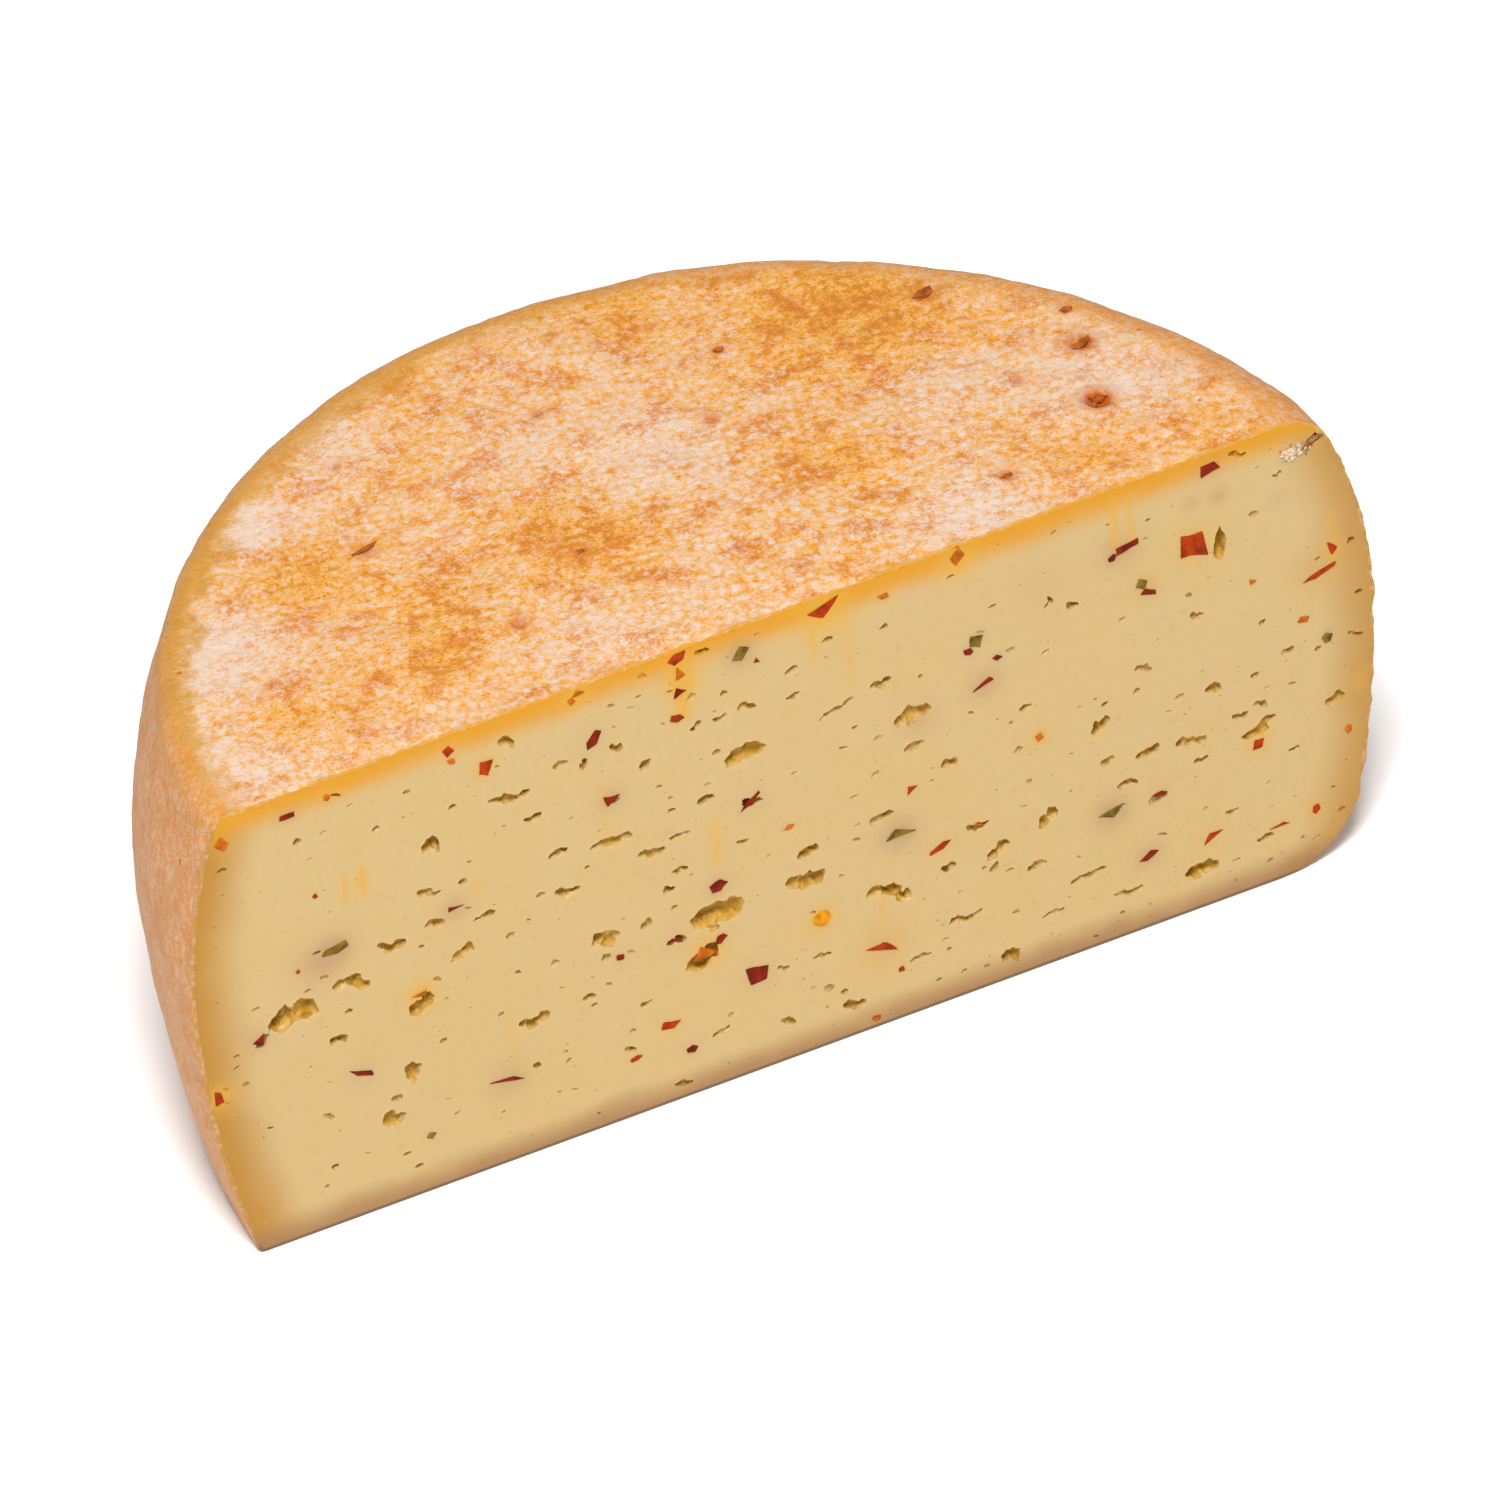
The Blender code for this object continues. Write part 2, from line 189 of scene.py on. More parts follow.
# Scabs and pits in the top: (along, back, radius, depth of the pit, how brown).
SCABS_MM = (
    (78.5, 25.0, 3.4, 0.9, 1.0), (84.5, 42.5, 3.2, 0.5, 0.8), (67.0, 73.0, 3.0, 0.4, 0.5),
    (26.5, 78.0, 1.6, 0.4, 0.7), (-11.0, 78.0, 1.4, 0.3, 0.6), (15.5, 59.0, 2.0, 0.7, 0.5),
    (-42.0, 22.0, 2.0, 0.7, 0.5), (-23.0, 35.5, 3.0, 0.3, 0.45), (53.5, 13.5, 2.2, 0.4, 0.5),
    (-56.0, 58.0, 3.2, 0.3, 0.35), (69.0, 39.0, 2.0, 0.3, 0.4), (-50.0, 84.0, 1.6, 0.3, 0.4),
    (87.0, 53.5, 1.6, 0.2, 0.6), (-88.0, 30.0, 1.4, 0.4, 0.5), (2.0, 20.0, 1.2, 0.4, 0.4),
)
RIND_CHIPS_MM = (
    (67.0, 73.0, 4.2, 2.2, 20), (87.0, 53.5, 2.2, 1.6, 0), (84.5, 42.5, 4.4, 1.6, 30),
    (26.5, 78.0, 1.8, 1.2, 0), (53.5, 13.5, 2.2, 1.0, 10), (-23.0, 35.5, 2.6, 1.2, 20),
    (78.8, 25.6, 2.8, 1.4, -20), (77.2, 24.0, 1.4, 1.0, 60), (-56.0, 58.0, 5.0, 0.9, 15),
)
CORNER_CRUMBS_MM = (105.9, 97.2, 1.7)
# The curl of crust above the crumbs: (along, height) of its ends.
CORNER_CURL_MM = ((107.6, 97.3), (111.6, 98.8))
CORNER_NOTCH_MM = (110.0, 98.7, 2.8, 1.5, 1.0, 22)


def linear(red, green, blue):
    """A screen colour, 0 to 255, as the linear colour that shaders use."""
    shares = (red / 255, green / 255, blue / 255)
    return tuple(s / 12.92 if s <= 0.04045 else ((s + 0.055) / 1.055) ** 2.4 for s in shares)


def colour_property(label, words, default):
    return bpy.props.FloatVectorProperty(
        name=label, description=words, subtype="COLOR", size=3, min=0.0, max=1.0, default=default
    )


def length_property(label, words, default):
    return bpy.props.FloatProperty(
        name=label, description=words, subtype="DISTANCE", unit="LENGTH", min=0.0, default=default
    )


class CheeseSizes(bpy.types.PropertyGroup):
    """Sizes of the half wheel's finer parts."""

    rind_edge: length_property("Rind edge", "Thickness of the rind where the knife went through it", 0.0011)
    slab: length_property("Paste slab", "How far back the paste's own piece reaches", 0.010)
    flake_proud: length_property("Flakes proud", "How far flakes stand out of the cut face", 0.00018)
    small_eyes: bpy.props.IntProperty(
        name="Small eyes", description="Seeded eyes of about 1 to 3 mm", min=0, default=170
    )
    pin_holes: bpy.props.IntProperty(
        name="Pin holes", description="Seeded holes under a millimetre", min=0, default=150
    )
    crumbs: bpy.props.IntProperty(
        name="Crumbs", description="Crumbs in the broken corner", min=0, default=260
    )


class CheeseColours(bpy.types.PropertyGroup):
    """Colours of the cheese and what it stands on."""

    paste: colour_property("Paste", "Middle of the cut face", linear(178, 153, 104))
    paste_shade: colour_property("Paste shade", "Broad darker patches of the paste", linear(178, 149, 94))
    paste_fleck: colour_property("Paste fleck", "Fine darker flecks of the paste", linear(162, 128, 80))
    paste_rim: colour_property("Paste by the side", "Amber paste inside the side rind", linear(158, 110, 22))
    # Painted light: saturated amber under the top rind, standing in for light glowing through the paste
    # there.
    paste_top_painted_glow: colour_property("Paste under the top", "Oily paste under the top rind", linear(188, 129, 0))
    # Painted shade: brownish darkening of the paste along the base, where the cheese meets the floor.
    paste_foot_painted_shade: colour_property("Paste at the foot", "Brownish paste along the base", linear(140, 100, 58))
    # Painted shade: the darker golden colour the paste takes deep inside an eye.
    eye_wall_painted_shade: colour_property("Eye wall", "Paste deep inside an eye", linear(176, 132, 34))
    oil: colour_property("Pepper oil", "Orange oil round a flake", linear(190, 142, 34))
    bruise: colour_property("Bruise", "Purple grey where a flake lies under the paste", linear(148, 108, 78))
    rind: colour_property("Rind", "Bare orange rind", linear(193, 118, 38))
    rind_gold: colour_property("Golden rind", "Bare golden rind", linear(204, 142, 50))
    rind_deep: colour_property("Deep rind", "Darkest ochre of the rind", linear(173, 104, 32))
    bloom: colour_property("Bloom", "Pale dry bloom on the rind", linear(199, 178, 161))
    side: colour_property("Side", "Rind of the side", linear(200, 132, 58))
    # The cut rind's dark brown at the very base, deepened as painted contact shade.
    rind_foot_and_painted_shade: colour_property("Rind at the foot", "Cut rind along the base", linear(84, 60, 34))
    rim: colour_property("Worn rim", "Golden rim where the rind is rubbed", linear(178, 130, 46))
    scab: colour_property("Scab", "Brown scabs and pits", linear(168, 80, 4))
    red: colour_property("Red flakes", "Dried red pepper", linear(154, 46, 0))
    crimson: colour_property("Crimson flakes", "Dark red pepper", linear(118, 26, 6))
    orange: colour_property("Orange flakes", "Orange pepper", linear(176, 88, 10))
    herb: colour_property("Herb flakes", "Olive and near black herb", linear(116, 92, 24))
    seed: colour_property("Pepper seed", "The seed in the cut face", linear(198, 130, 8))
    crumb: colour_property("Crumbs", "Pale crumbs in the broken corner", linear(196, 172, 146))
    crumb_side: colour_property("Crumb sides", "Brown sides of the crumbs", linear(130, 86, 40))
    crust: colour_property("Dry crust", "Curl of dry crust over the crumbs", linear(150, 112, 76))
    rind_pepper: colour_property("Pepper in the rind", "Chips in the top", linear(168, 88, 34))
    floor: colour_property("Floor", "Pale floor", (0.93, 0.93, 0.93))


# --- Shape of the wheel -------------------------------------------------------------------------------------


def between_ends(pair, along):
    """A size that changes smoothly from the -X end (along -1) to the +X end (along 1)."""
    return (pair[0] + pair[1]) / 2 + (pair[1] - pair[0]) / 2 * along


def rounded_off(radius, distance):
    """How far an edge's rounding draws the side in, at this distance from the flat face."""
    inside = np.clip(radius - distance, 0.0, radius)
    return radius - np.sqrt(radius**2 - inside**2)


def wheel_radius(height, turn):
    """Radius of the wheel's side at a height (before the wheel's rise) and a direction from its axis."""
    along = np.cos(turn)
    above = np.clip((height - BELLY_HEIGHT) / (HEIGHT - BELLY_HEIGHT), 0.0, 1.0)
    below = np.clip((BELLY_HEIGHT - height) / BELLY_HEIGHT, 0.0, 1.0)
    radius = BELLY - between_ends(TOP_INSET, along) * above**2 - between_ends(FOOT_INSET, along) * below**2
    radius = radius - rounded_off(between_ends(TOP_ROUND, along), HEIGHT - height)
    radius = radius - rounded_off(between_ends(FOOT_ROUND, along), height)
    return radius * (1 + OVAL * np.cos(2 * turn) + BACK_SWELL * np.sin(turn) ** 3)


def risen(height, along):
    """The wheel stands a little taller towards +X."""
    return height * (1 + RISE / HEIGHT * along / (2 * BELLY))


def unrisen(height, along):
    return height / (1 + RISE / HEIGHT * along / (2 * BELLY))


def top_at(along):
    return risen(HEIGHT, along)


def points_of(mesh):
    found = np.empty(len(mesh.vertices) * 3)
    mesh.vertices.foreach_get("co", found)
    return found.reshape(-1, 3)


def move_points(mesh, points):
    mesh.vertices.foreach_set("co", points.astype(np.float32).ravel())
    mesh.update()


def paint(mesh, name, values):
    """Writes one number per vertex to an attribute that the materials read."""
    layer = mesh.attributes.get(name) or mesh.attributes.new(name, "FLOAT", "POINT")
    layer.data.foreach_set("value", np.asarray(values, dtype=np.float32))


def ripple(points, size, seed):
    """Smooth noise from -1 to 1 at each point, with features of the given size."""
    shift = Vector((seed * 7.1, seed * 3.3, seed * 5.7))
    return np.array([noise.noise(Vector(p) / size + shift) for p in points])


def spots(x, y, places):
    """Sum of soft round spots (x, y, radius, strength) given in millimetres."""
    total = np.zeros(len(x))
    for along, across, radius, strength in places:
        away = ((x / MM - along) ** 2 + (y / MM - across) ** 2) / radius**2
        total += strength * np.exp(-away * 1.4)
    return total


# --- Working with objects -----------------------------------------------------------------------------------


def deselect():
    for chosen in list(bpy.context.selected_objects):
        chosen.select_set(False)


def take(piece):
    """Selects one object alone and makes it active."""
    deselect()
    piece.select_set(True)
    bpy.context.view_layer.objects.active = piece


def edit(piece):
    take(piece)
    bpy.ops.object.mode_set(mode="EDIT")


def done_editing():
    bpy.ops.object.mode_set(mode="OBJECT")


def pick(piece, kind, test):
    """In edit mode, selects the vertices, edges or faces that pass a test, and nothing else."""
    bpy.ops.mesh.select_mode(type=kind)
    bpy.ops.mesh.select_all(action="DESELECT")
    shape = bmesh.from_edit_mesh(piece.data)
    parts = {"VERT": shape.verts, "EDGE": shape.edges, "FACE": shape.faces}[kind]
    for part in parts:
        if test(part):
            part.select_set(True)
    bmesh.update_edit_mesh(piece.data)


def apply_modifier(piece, modifier):
    take(piece)
    bpy.ops.object.modifier_apply(modifier=modifier.name)


def own_copy(model, matrix):
    """A copy of a modelled shape with its own mesh, moved to its place in the mesh itself."""
    copied = model.copy()
    copied.data = model.data.copy()
    copied.data.transform(matrix)
    bpy.context.scene.collection.objects.link(copied)
    return copied


def join(copies, name):
    deselect()
    for copied in copies:
        copied.select_set(True)
    bpy.context.view_layer.objects.active = copies[0]
    bpy.ops.object.join()
    joined = bpy.context.view_layer.objects.active
    joined.name = name
    joined.data.name = name
    return joined


def remove(piece):
    bpy.data.objects.remove(piece)


def roughen(piece, name, size, strength, group=""):
    """Moves the surface in and out along its normals by cloudy noise, and applies it."""
    clouds = bpy.data.textures.new(name, "CLOUDS")
    clouds.noise_scale = size
    clouds.noise_depth = 2
    displace = piece.modifiers.new(name, "DISPLACE")
    displace.texture = clouds
    displace.texture_coords = "LOCAL"
    displace.strength = strength
    displace.mid_level = 0.5
    displace.vertex_group = group
    apply_modifier(piece, displace)


def finish_piece(piece, material, smooth_angle):
    """Shades a finished piece, gives it its material and ties it to the frame."""
    take(piece)
    bpy.ops.object.shade_smooth_by_angle(angle=math.radians(smooth_angle))
    piece.data.materials.clear()
    piece.data.materials.append(material)
    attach(piece, "root")


# --- Materials ----------------------------------------------------------------------------------------------


class Nodes:
    """Adds nodes to a tree from left to right and links them by name."""

    def __init__(self, tree):
        self.tree = tree
        self.step = 0

    def add(self, kind, inputs=None, **settings):
        node = self.tree.nodes.new(kind)
        node.location = (self.step * 190, -(self.step % 4) * 170)
        self.step += 1
        for name, value in settings.items():
            setattr(node, name, value)
        for name, value in (inputs or {}).items():
            self.feed(node.inputs[name], value)
        return node

    def feed(self, socket, value):
        if isinstance(value, bpy.types.NodeSocket):
            self.tree.links.new(value, socket)
        elif socket.type == "RGBA" and len(value) == 3:
            socket.default_value = (*value, 1.0)
        else:
            socket.default_value = value

    def maths(self, operation, first, second=0.0, clamp=False):
        node = self.add("ShaderNodeMath", {0: first, 1: second}, operation=operation, use_clamp=clamp)
        return node.outputs[0]

    def spread(self, value, amount):
        """A value round 0.5 turned into one round 0, and stretched."""
        return self.maths("MULTIPLY", self.maths("SUBTRACT", value, 0.5), amount)

    def ramp(self, value, low, high, to_low=0.0, to_high=1.0):
        """Value mapped smoothly from low..high to to_low..to_high, and held at both ends."""
        sockets = {"Value": value, "From Min": low, "From Max": high, "To Min": to_low, "To Max": to_high}
        return self.add("ShaderNodeMapRange", sockets, interpolation_type="SMOOTHSTEP").outputs[0]

    def mix(self, share, first, second):
        node = self.add("ShaderNodeMix", data_type="RGBA")
        self.feed(node.inputs[0], share)
        self.feed(node.inputs[6], first)
        self.feed(node.inputs[7], second)
        return node.outputs[2]

    def attribute(self, name):
        return self.add("ShaderNodeAttribute", attribute_name=name).outputs["Fac"]

    def group(self, tree, inputs=None):
        node = self.add("ShaderNodeGroup", node_tree=tree)
        for name, value in (inputs or {}).items():
            self.feed(node.inputs[name], value)
        return node


def new_group(name, inputs, outputs):
    """An empty node group with named sockets, as (tree, builder, input node, output node)."""
    tree = bpy.data.node_groups.new(name, "ShaderNodeTree")
    for label, kind, default in inputs:
        socket = tree.interface.new_socket(label, in_out="INPUT", socket_type=kind)
        if default is not None:
            socket.default_value = default
    for label, kind in outputs:
        tree.interface.new_socket(label, in_out="OUTPUT", socket_type=kind)
    build = Nodes(tree)
    entry = build.add("NodeGroupInput")
    leave = build.add("NodeGroupOutput")
    return tree, build, entry, leave


def shared_group(name, maker):
    return bpy.data.node_groups.get(name) or maker(name)


def make_grain(name):
    """Cloudy grain of one size, hardened between two levels."""
    tree, build, entry, leave = new_group(
        name,
        (
            ("Vector", "NodeSocketVector", None),
            ("Size", "NodeSocketFloat", 0.002),
            ("Detail", "NodeSocketFloat", 3.0),
            ("Low", "NodeSocketFloat", 0.35),
            ("High", "NodeSocketFloat", 0.65),
        ),
        (("Mask", "NodeSocketFloat"), ("Raw", "NodeSocketFloat")),
    )
    scale = build.maths("DIVIDE", 1.0, entry.outputs["Size"])
    sockets = {"Vector": entry.outputs["Vector"], "Scale": scale, "Detail": entry.outputs["Detail"]}
    raw = build.add("ShaderNodeTexNoise", sockets).outputs[0]
    build.feed(leave.inputs["Mask"], build.ramp(raw, entry.outputs["Low"], entry.outputs["High"]))
    build.feed(leave.inputs["Raw"], raw)
    return tree


def make_dots(name):
    """Round dots on a slightly uneven lattice, as a mould's mesh leaves them."""
    tree, build, entry, leave = new_group(
        name,
        (
            ("Vector", "NodeSocketVector", None),
            ("Spacing", "NodeSocketFloat", 0.0027),
            ("Stray", "NodeSocketFloat", 0.2),
            ("Radius", "NodeSocketFloat", 0.42),
        ),
        (("Dots", "NodeSocketFloat"),),
    )
    scale = build.maths("DIVIDE", 1.0, entry.outputs["Spacing"])
    sockets = {"Vector": entry.outputs["Vector"], "Scale": scale, "Randomness": entry.outputs["Stray"]}
    away = build.add("ShaderNodeTexVoronoi", sockets, voronoi_dimensions="2D").outputs["Distance"]
    inner = build.maths("MULTIPLY", entry.outputs["Radius"], 0.3)
    build.feed(leave.inputs["Dots"], build.ramp(away, inner, entry.outputs["Radius"], 1.0, 0.0))
    return tree


def make_specks(name):
    """Sparse small round specks of uneven size."""
    tree, build, entry, leave = new_group(
        name,
        (
            ("Vector", "NodeSocketVector", None),
            ("Spacing", "NodeSocketFloat", 0.005),
            ("Radius", "NodeSocketFloat", 0.1),
            ("Share", "NodeSocketFloat", 0.5),
        ),
        (("Specks", "NodeSocketFloat"),),
    )
    scale = build.maths("DIVIDE", 1.0, entry.outputs["Spacing"])
    cells = build.add("ShaderNodeTexVoronoi", {"Vector": entry.outputs["Vector"], "Scale": scale})
    parts = build.add("ShaderNodeSeparateColor", {"Color": cells.outputs["Color"]})
    chosen = build.maths("LESS_THAN", parts.outputs[0], entry.outputs["Share"])
    radius = build.maths("MULTIPLY", entry.outputs["Radius"], build.maths("ADD", parts.outputs[1], 0.4))
    dot = build.ramp(cells.outputs["Distance"], build.maths("MULTIPLY", radius, 0.5), radius, 1.0, 0.0)
    build.feed(leave.inputs["Specks"], build.maths("MULTIPLY", dot, chosen))
    return tree


def grain(build, vector, size, low=0.35, high=0.65, detail=3.0):
    sockets = {"Vector": vector, "Size": size, "Detail": detail, "Low": low, "High": high}
    return build.group(shared_group("cheese_grain", make_grain), sockets)


def specks(build, vector, spacing, radius, share):
    sockets = {"Vector": vector, "Spacing": spacing, "Radius": radius, "Share": share}
    return build.group(shared_group("cheese_specks", make_specks), sockets).outputs["Specks"]


def new_material(name):
    """A material with an empty Principled surface, as (material, builder, Principled, object coordinates)."""
    material = bpy.data.materials.new(name)
    material.use_nodes = True
    tree = material.node_tree
    surface = tree.nodes["Principled BSDF"]
    build = Nodes(tree)
    where = build.add("ShaderNodeTexCoord").outputs["Object"]
    return material, build, surface, where


def bump(build, height, distance, strength):
    sockets = {"Height": height, "Distance": distance, "Strength": strength}
    return build.add("ShaderNodeBump", sockets).outputs["Normal"]


def rind_material(colours):
    """Washed rind: bare orange under a pale broken bloom, a mould's dots, a rubbed golden rim and specks."""
    material, build, surface, where = new_material("washed_rind")
    bloom_field = build.attribute("bloom")
    rim_distance = build.attribute("rim_mm")
    scab = build.attribute("scab")
    on_top = build.ramp(rim_distance, -1.0, 2.0)

    broad = grain(build, where, 0.022, 0.30, 0.70, 2.0).outputs["Raw"]
    middle = grain(build, where, 0.0065, 0.30, 0.70, 3.0).outputs["Raw"]
    fine = grain(build, where, 0.0016, 0.30, 0.70, 4.0)
    tiny = grain(build, where, 0.0006, 0.30, 0.70, 2.0).outputs["Raw"]

    flat = build.add("ShaderNodeMapping", {"Vector": where, "Rotation": (0.0, 0.0, 0.35)}).outputs[0]
    dots_group = shared_group("cheese_mould_dots", make_dots)
    blobs = build.group(dots_group, {"Vector": flat, "Spacing": 0.0021, "Stray": 1.0, "Radius": 0.60})
    dots = build.group(dots_group, {"Vector": flat, "Spacing": 0.0027, "Stray": 0.55, "Radius": 0.46})
    dots_here = build.maths("MULTIPLY", dots.outputs["Dots"], build.attribute("dotted"))
    dots_here = build.maths("MULTIPLY", dots_here, on_top)

    field = build.maths("ADD", bloom_field, build.spread(broad, 1.1))
    field = build.maths("ADD", field, build.spread(middle, 1.0))
    field = build.maths("ADD", field, build.spread(fine.outputs["Raw"], 2.2))
    field = build.maths("ADD", field, build.spread(tiny, 2.4))
    field = build.maths("ADD", field, build.spread(blobs.outputs["Dots"], 0.35))
    field = build.maths("ADD", field, build.maths("MULTIPLY", dots_here, 0.30))
    pale = build.ramp(field, -0.62, 1.05)

    ground = build.mix(build.ramp(middle, 0.34, 0.54), colours.rind, colours.rind_gold)
    ground = build.mix(build.ramp(field, -1.1, -0.30, 0.8, 0.0), ground, colours.rind_deep)
    top = build.mix(pale, ground, colours.bloom)

    side_pale = build.ramp(build.maths("ADD", fine.outputs["Raw"], tiny), 0.90, 1.14)
    side = build.mix(build.maths("MULTIPLY", side_pale, 0.5), colours.side, colours.bloom)
    side = build.mix(build.ramp(middle, 0.35, 0.75, 0.0, 0.35), side, colours.rind_deep)
    grit = specks(build, where, 0.0013, 0.30, 0.45)
    side = build.mix(build.maths("MULTIPLY", grit, 0.45), side, colours.rind_deep)
    skin = build.mix(on_top, side, top)

    ragged = build.maths("ADD", rim_distance, build.spread(middle, 14.0))
    inner = build.ramp(ragged, 1.0, 5.0, 1.0, 0.0)
    outer = build.ramp(rim_distance, -5.0, -1.0)
    worn = build.maths("MULTIPLY", inner, outer)
    worn = build.maths("MULTIPLY", worn, build.ramp(fine.outputs["Raw"], 0.30, 0.62, 0.25, 1.0))
    worn = build.maths("MULTIPLY", worn, build.attribute("worn"))
    skin = build.mix(worn, skin, colours.rim)

    dark = specks(build, where, 0.0085, 0.07, 0.35)
    skin = build.mix(build.maths("MULTIPLY", dark, 0.75), skin, colours.scab)
    brown = build.maths("MULTIPLY", scab, build.ramp(fine.outputs["Raw"], 0.35, 0.55, 0.6, 1.4), clamp=True)
    skin = build.mix(brown, skin, colours.scab)
    build.feed(surface.inputs["Base Color"], skin)

    build.feed(surface.inputs["Roughness"], build.ramp(pale, 0.0, 1.0, 0.55, 0.75))
    relief = build.maths("ADD", fine.outputs["Raw"], build.maths("MULTIPLY", tiny, 0.6))
    relief = build.maths("ADD", relief, build.maths("MULTIPLY", dots_here, 0.25))
    relief = build.maths("SUBTRACT", relief, build.maths("MULTIPLY", dark, 0.6))
    build.feed(surface.inputs["Normal"], bump(build, relief, 0.00035, 0.8))
    surface.inputs["Specular IOR Level"].default_value = 0.22
    surface.inputs["Subsurface Weight"].default_value = 0.12
    surface.inputs["Subsurface Radius"].default_value = (1.0, 0.5, 0.2)
    surface.inputs["Subsurface Scale"].default_value = 0.0012
    return material


def rind_edge_material(colours):
    """The rind where the knife went through it: creamy gold above with a painted glow at the top, brown at
    the foot with painted shade.
    """
    material, build, surface, where = new_material("rind_edge")
    height = build.add("ShaderNodeSeparateXYZ", {"Vector": where}).outputs["Z"]
    fine = grain(build, where, 0.0012, 0.3, 0.7, 3.0).outputs["Raw"]
    # Painted shade: towards the base the cut rind darkens from amber to brownish, and to dark brown in its
    # lowest 3 mm.
    up = build.ramp(height, 0.002, 0.012)
    body = build.mix(up, colours.paste_foot_painted_shade, colours.paste_rim)
    body = build.mix(build.ramp(height, 0.0006, 0.0030, 0.8, 0.0), body, colours.rind_foot_and_painted_shade)
    # Painted light: the top of the cut rind takes the same glowing amber.
    body = build.mix(build.ramp(height, HEIGHT - 0.006, HEIGHT - 0.001), body, colours.paste_top_painted_glow)
    crumbly = build.maths("MULTIPLY", build.ramp(fine, 0.45, 0.75, 0.0, 0.3), up)
    body = build.mix(crumbly, body, colours.bloom)
    build.feed(surface.inputs["Base Color"], body)
    surface.inputs["Roughness"].default_value = 0.5
    build.feed(surface.inputs["Normal"], bump(build, fine, 0.0002, 0.7))
    return material


def paste_material(colours):
    """Cut paste: pale and waxy, amber towards the rind, stained by oil and flakes, with painted shade deeper
    inside the eyes and along the base, and a painted glow under the top.
    """
    material, build, surface, where = new_material("cut_paste")
    place = build.add("ShaderNodeSeparateXYZ", {"Vector": where})
    soft = grain(build, where, 0.014, 0.3, 0.7, 2.0).outputs["Raw"]
    fine = grain(build, where, 0.0016, 0.3, 0.7, 3.0).outputs["Raw"]
    wobble = build.maths("MULTIPLY", build.maths("SUBTRACT", soft, 0.5), 5.0)

    body = build.mix(build.ramp(soft, 0.35, 0.70, 0.0, 0.35), colours.paste, colours.paste_shade)
    body = build.mix(build.ramp(fine, 0.55, 0.80, 0.0, 0.25), body, colours.paste_fleck)

    from_side = build.maths("ADD", build.attribute("side_mm"), wobble)
    amber = build.ramp(from_side, 0.5, 13.0, 0.94, 0.0)
    amber = build.maths("MULTIPLY", amber, build.ramp(place.outputs["X"], -0.02, 0.10, 1.0, 0.8))
    body = build.mix(amber, body, colours.paste_rim)
    high = build.maths("MULTIPLY", place.outputs["Z"], 1000.0)
    # Painted shade: the paste darkens to brownish over its lowest 7 mm or so.
    foot = build.ramp(build.maths("ADD", high, wobble), 0.5, 7.5, 0.85, 0.0)
    body = build.mix(foot, body, colours.paste_foot_painted_shade)
    # Painted light: the paste turns saturated amber within about 8 mm of the top rind, as if light glowed
    # through it.
    from_top = build.maths("ADD", build.attribute("top_mm"), build.maths("MULTIPLY", wobble, 0.7))
    painted_glow_under_top = build.ramp(from_top, 1.4, 8.0, 1.0, 0.0)
    body = build.mix(painted_glow_under_top, body, colours.paste_top_painted_glow)

    body = build.mix(build.maths("MULTIPLY", build.attribute("bruise"), 0.65), body, colours.bruise)
    body = build.mix(build.attribute("oil"), body, colours.oil)

    # Painted shade: the further a point lies behind the cut face, inside an eye, the more it takes the eye
    # wall's darker colour.
    deep = build.maths("MULTIPLY", build.maths("SUBTRACT", place.outputs["Y"], CUT_Y), 1000.0)
    inside = build.ramp(deep, 0.05, 1.1, 0.0, 0.95)
    body = build.mix(inside, body, colours.eye_wall_painted_shade)
    build.feed(surface.inputs["Base Color"], body)

    streaked = build.add("ShaderNodeMapping", {"Vector": where, "Scale": (1.0, 1.0, 0.06)}).outputs[0]
    drag = grain(build, streaked, 0.0012, 0.3, 0.7, 2.0).outputs["Raw"]
    pores = specks(build, where, 0.0016, 0.22, 0.35)
    relief = build.maths("ADD", build.maths("MULTIPLY", fine, 0.7), build.maths("MULTIPLY", drag, 0.35))
    relief = build.maths("SUBTRACT", relief, build.maths("MULTIPLY", pores, 0.5))
    build.feed(surface.inputs["Normal"], bump(build, relief, 0.00010, 0.8))
    build.feed(surface.inputs["Roughness"], build.ramp(drag, 0.3, 0.7, 0.40, 0.55))
    surface.inputs["Specular IOR Level"].default_value = 0.28
    surface.inputs["Subsurface Weight"].default_value = 0.45
    surface.inputs["Subsurface Radius"].default_value = (1.0, 0.62, 0.22)
    surface.inputs["Subsurface Scale"].default_value = 0.0022
    return material


def flake_material(name, colour, darker, roughness=0.38):
    """Dried pepper: streaked, a little glossy and darker towards some ends."""
    material, build, surface, where = new_material(name)
    patch = grain(build, where, 0.0022, 0.38, 0.66, 3.0).outputs["Mask"]
    veins = grain(build, where, 0.0006, 0.35, 0.65, 2.0).outputs["Raw"]
    dark = tuple(channel * darker for channel in colour)
    body = build.mix(patch, tuple(colour), dark)
    body = build.mix(build.ramp(veins, 0.55, 0.75, 0.0, 0.35), body, tuple(min(1.0, c * 1.6) for c in colour))
    build.feed(surface.inputs["Base Color"], body)
    build.feed(surface.inputs["Roughness"], build.ramp(veins, 0.3, 0.7, roughness - 0.08, roughness + 0.12))
    build.feed(surface.inputs["Normal"], bump(build, veins, 0.00015, 0.7))
    surface.inputs["Specular IOR Level"].default_value = 0.06
    return material


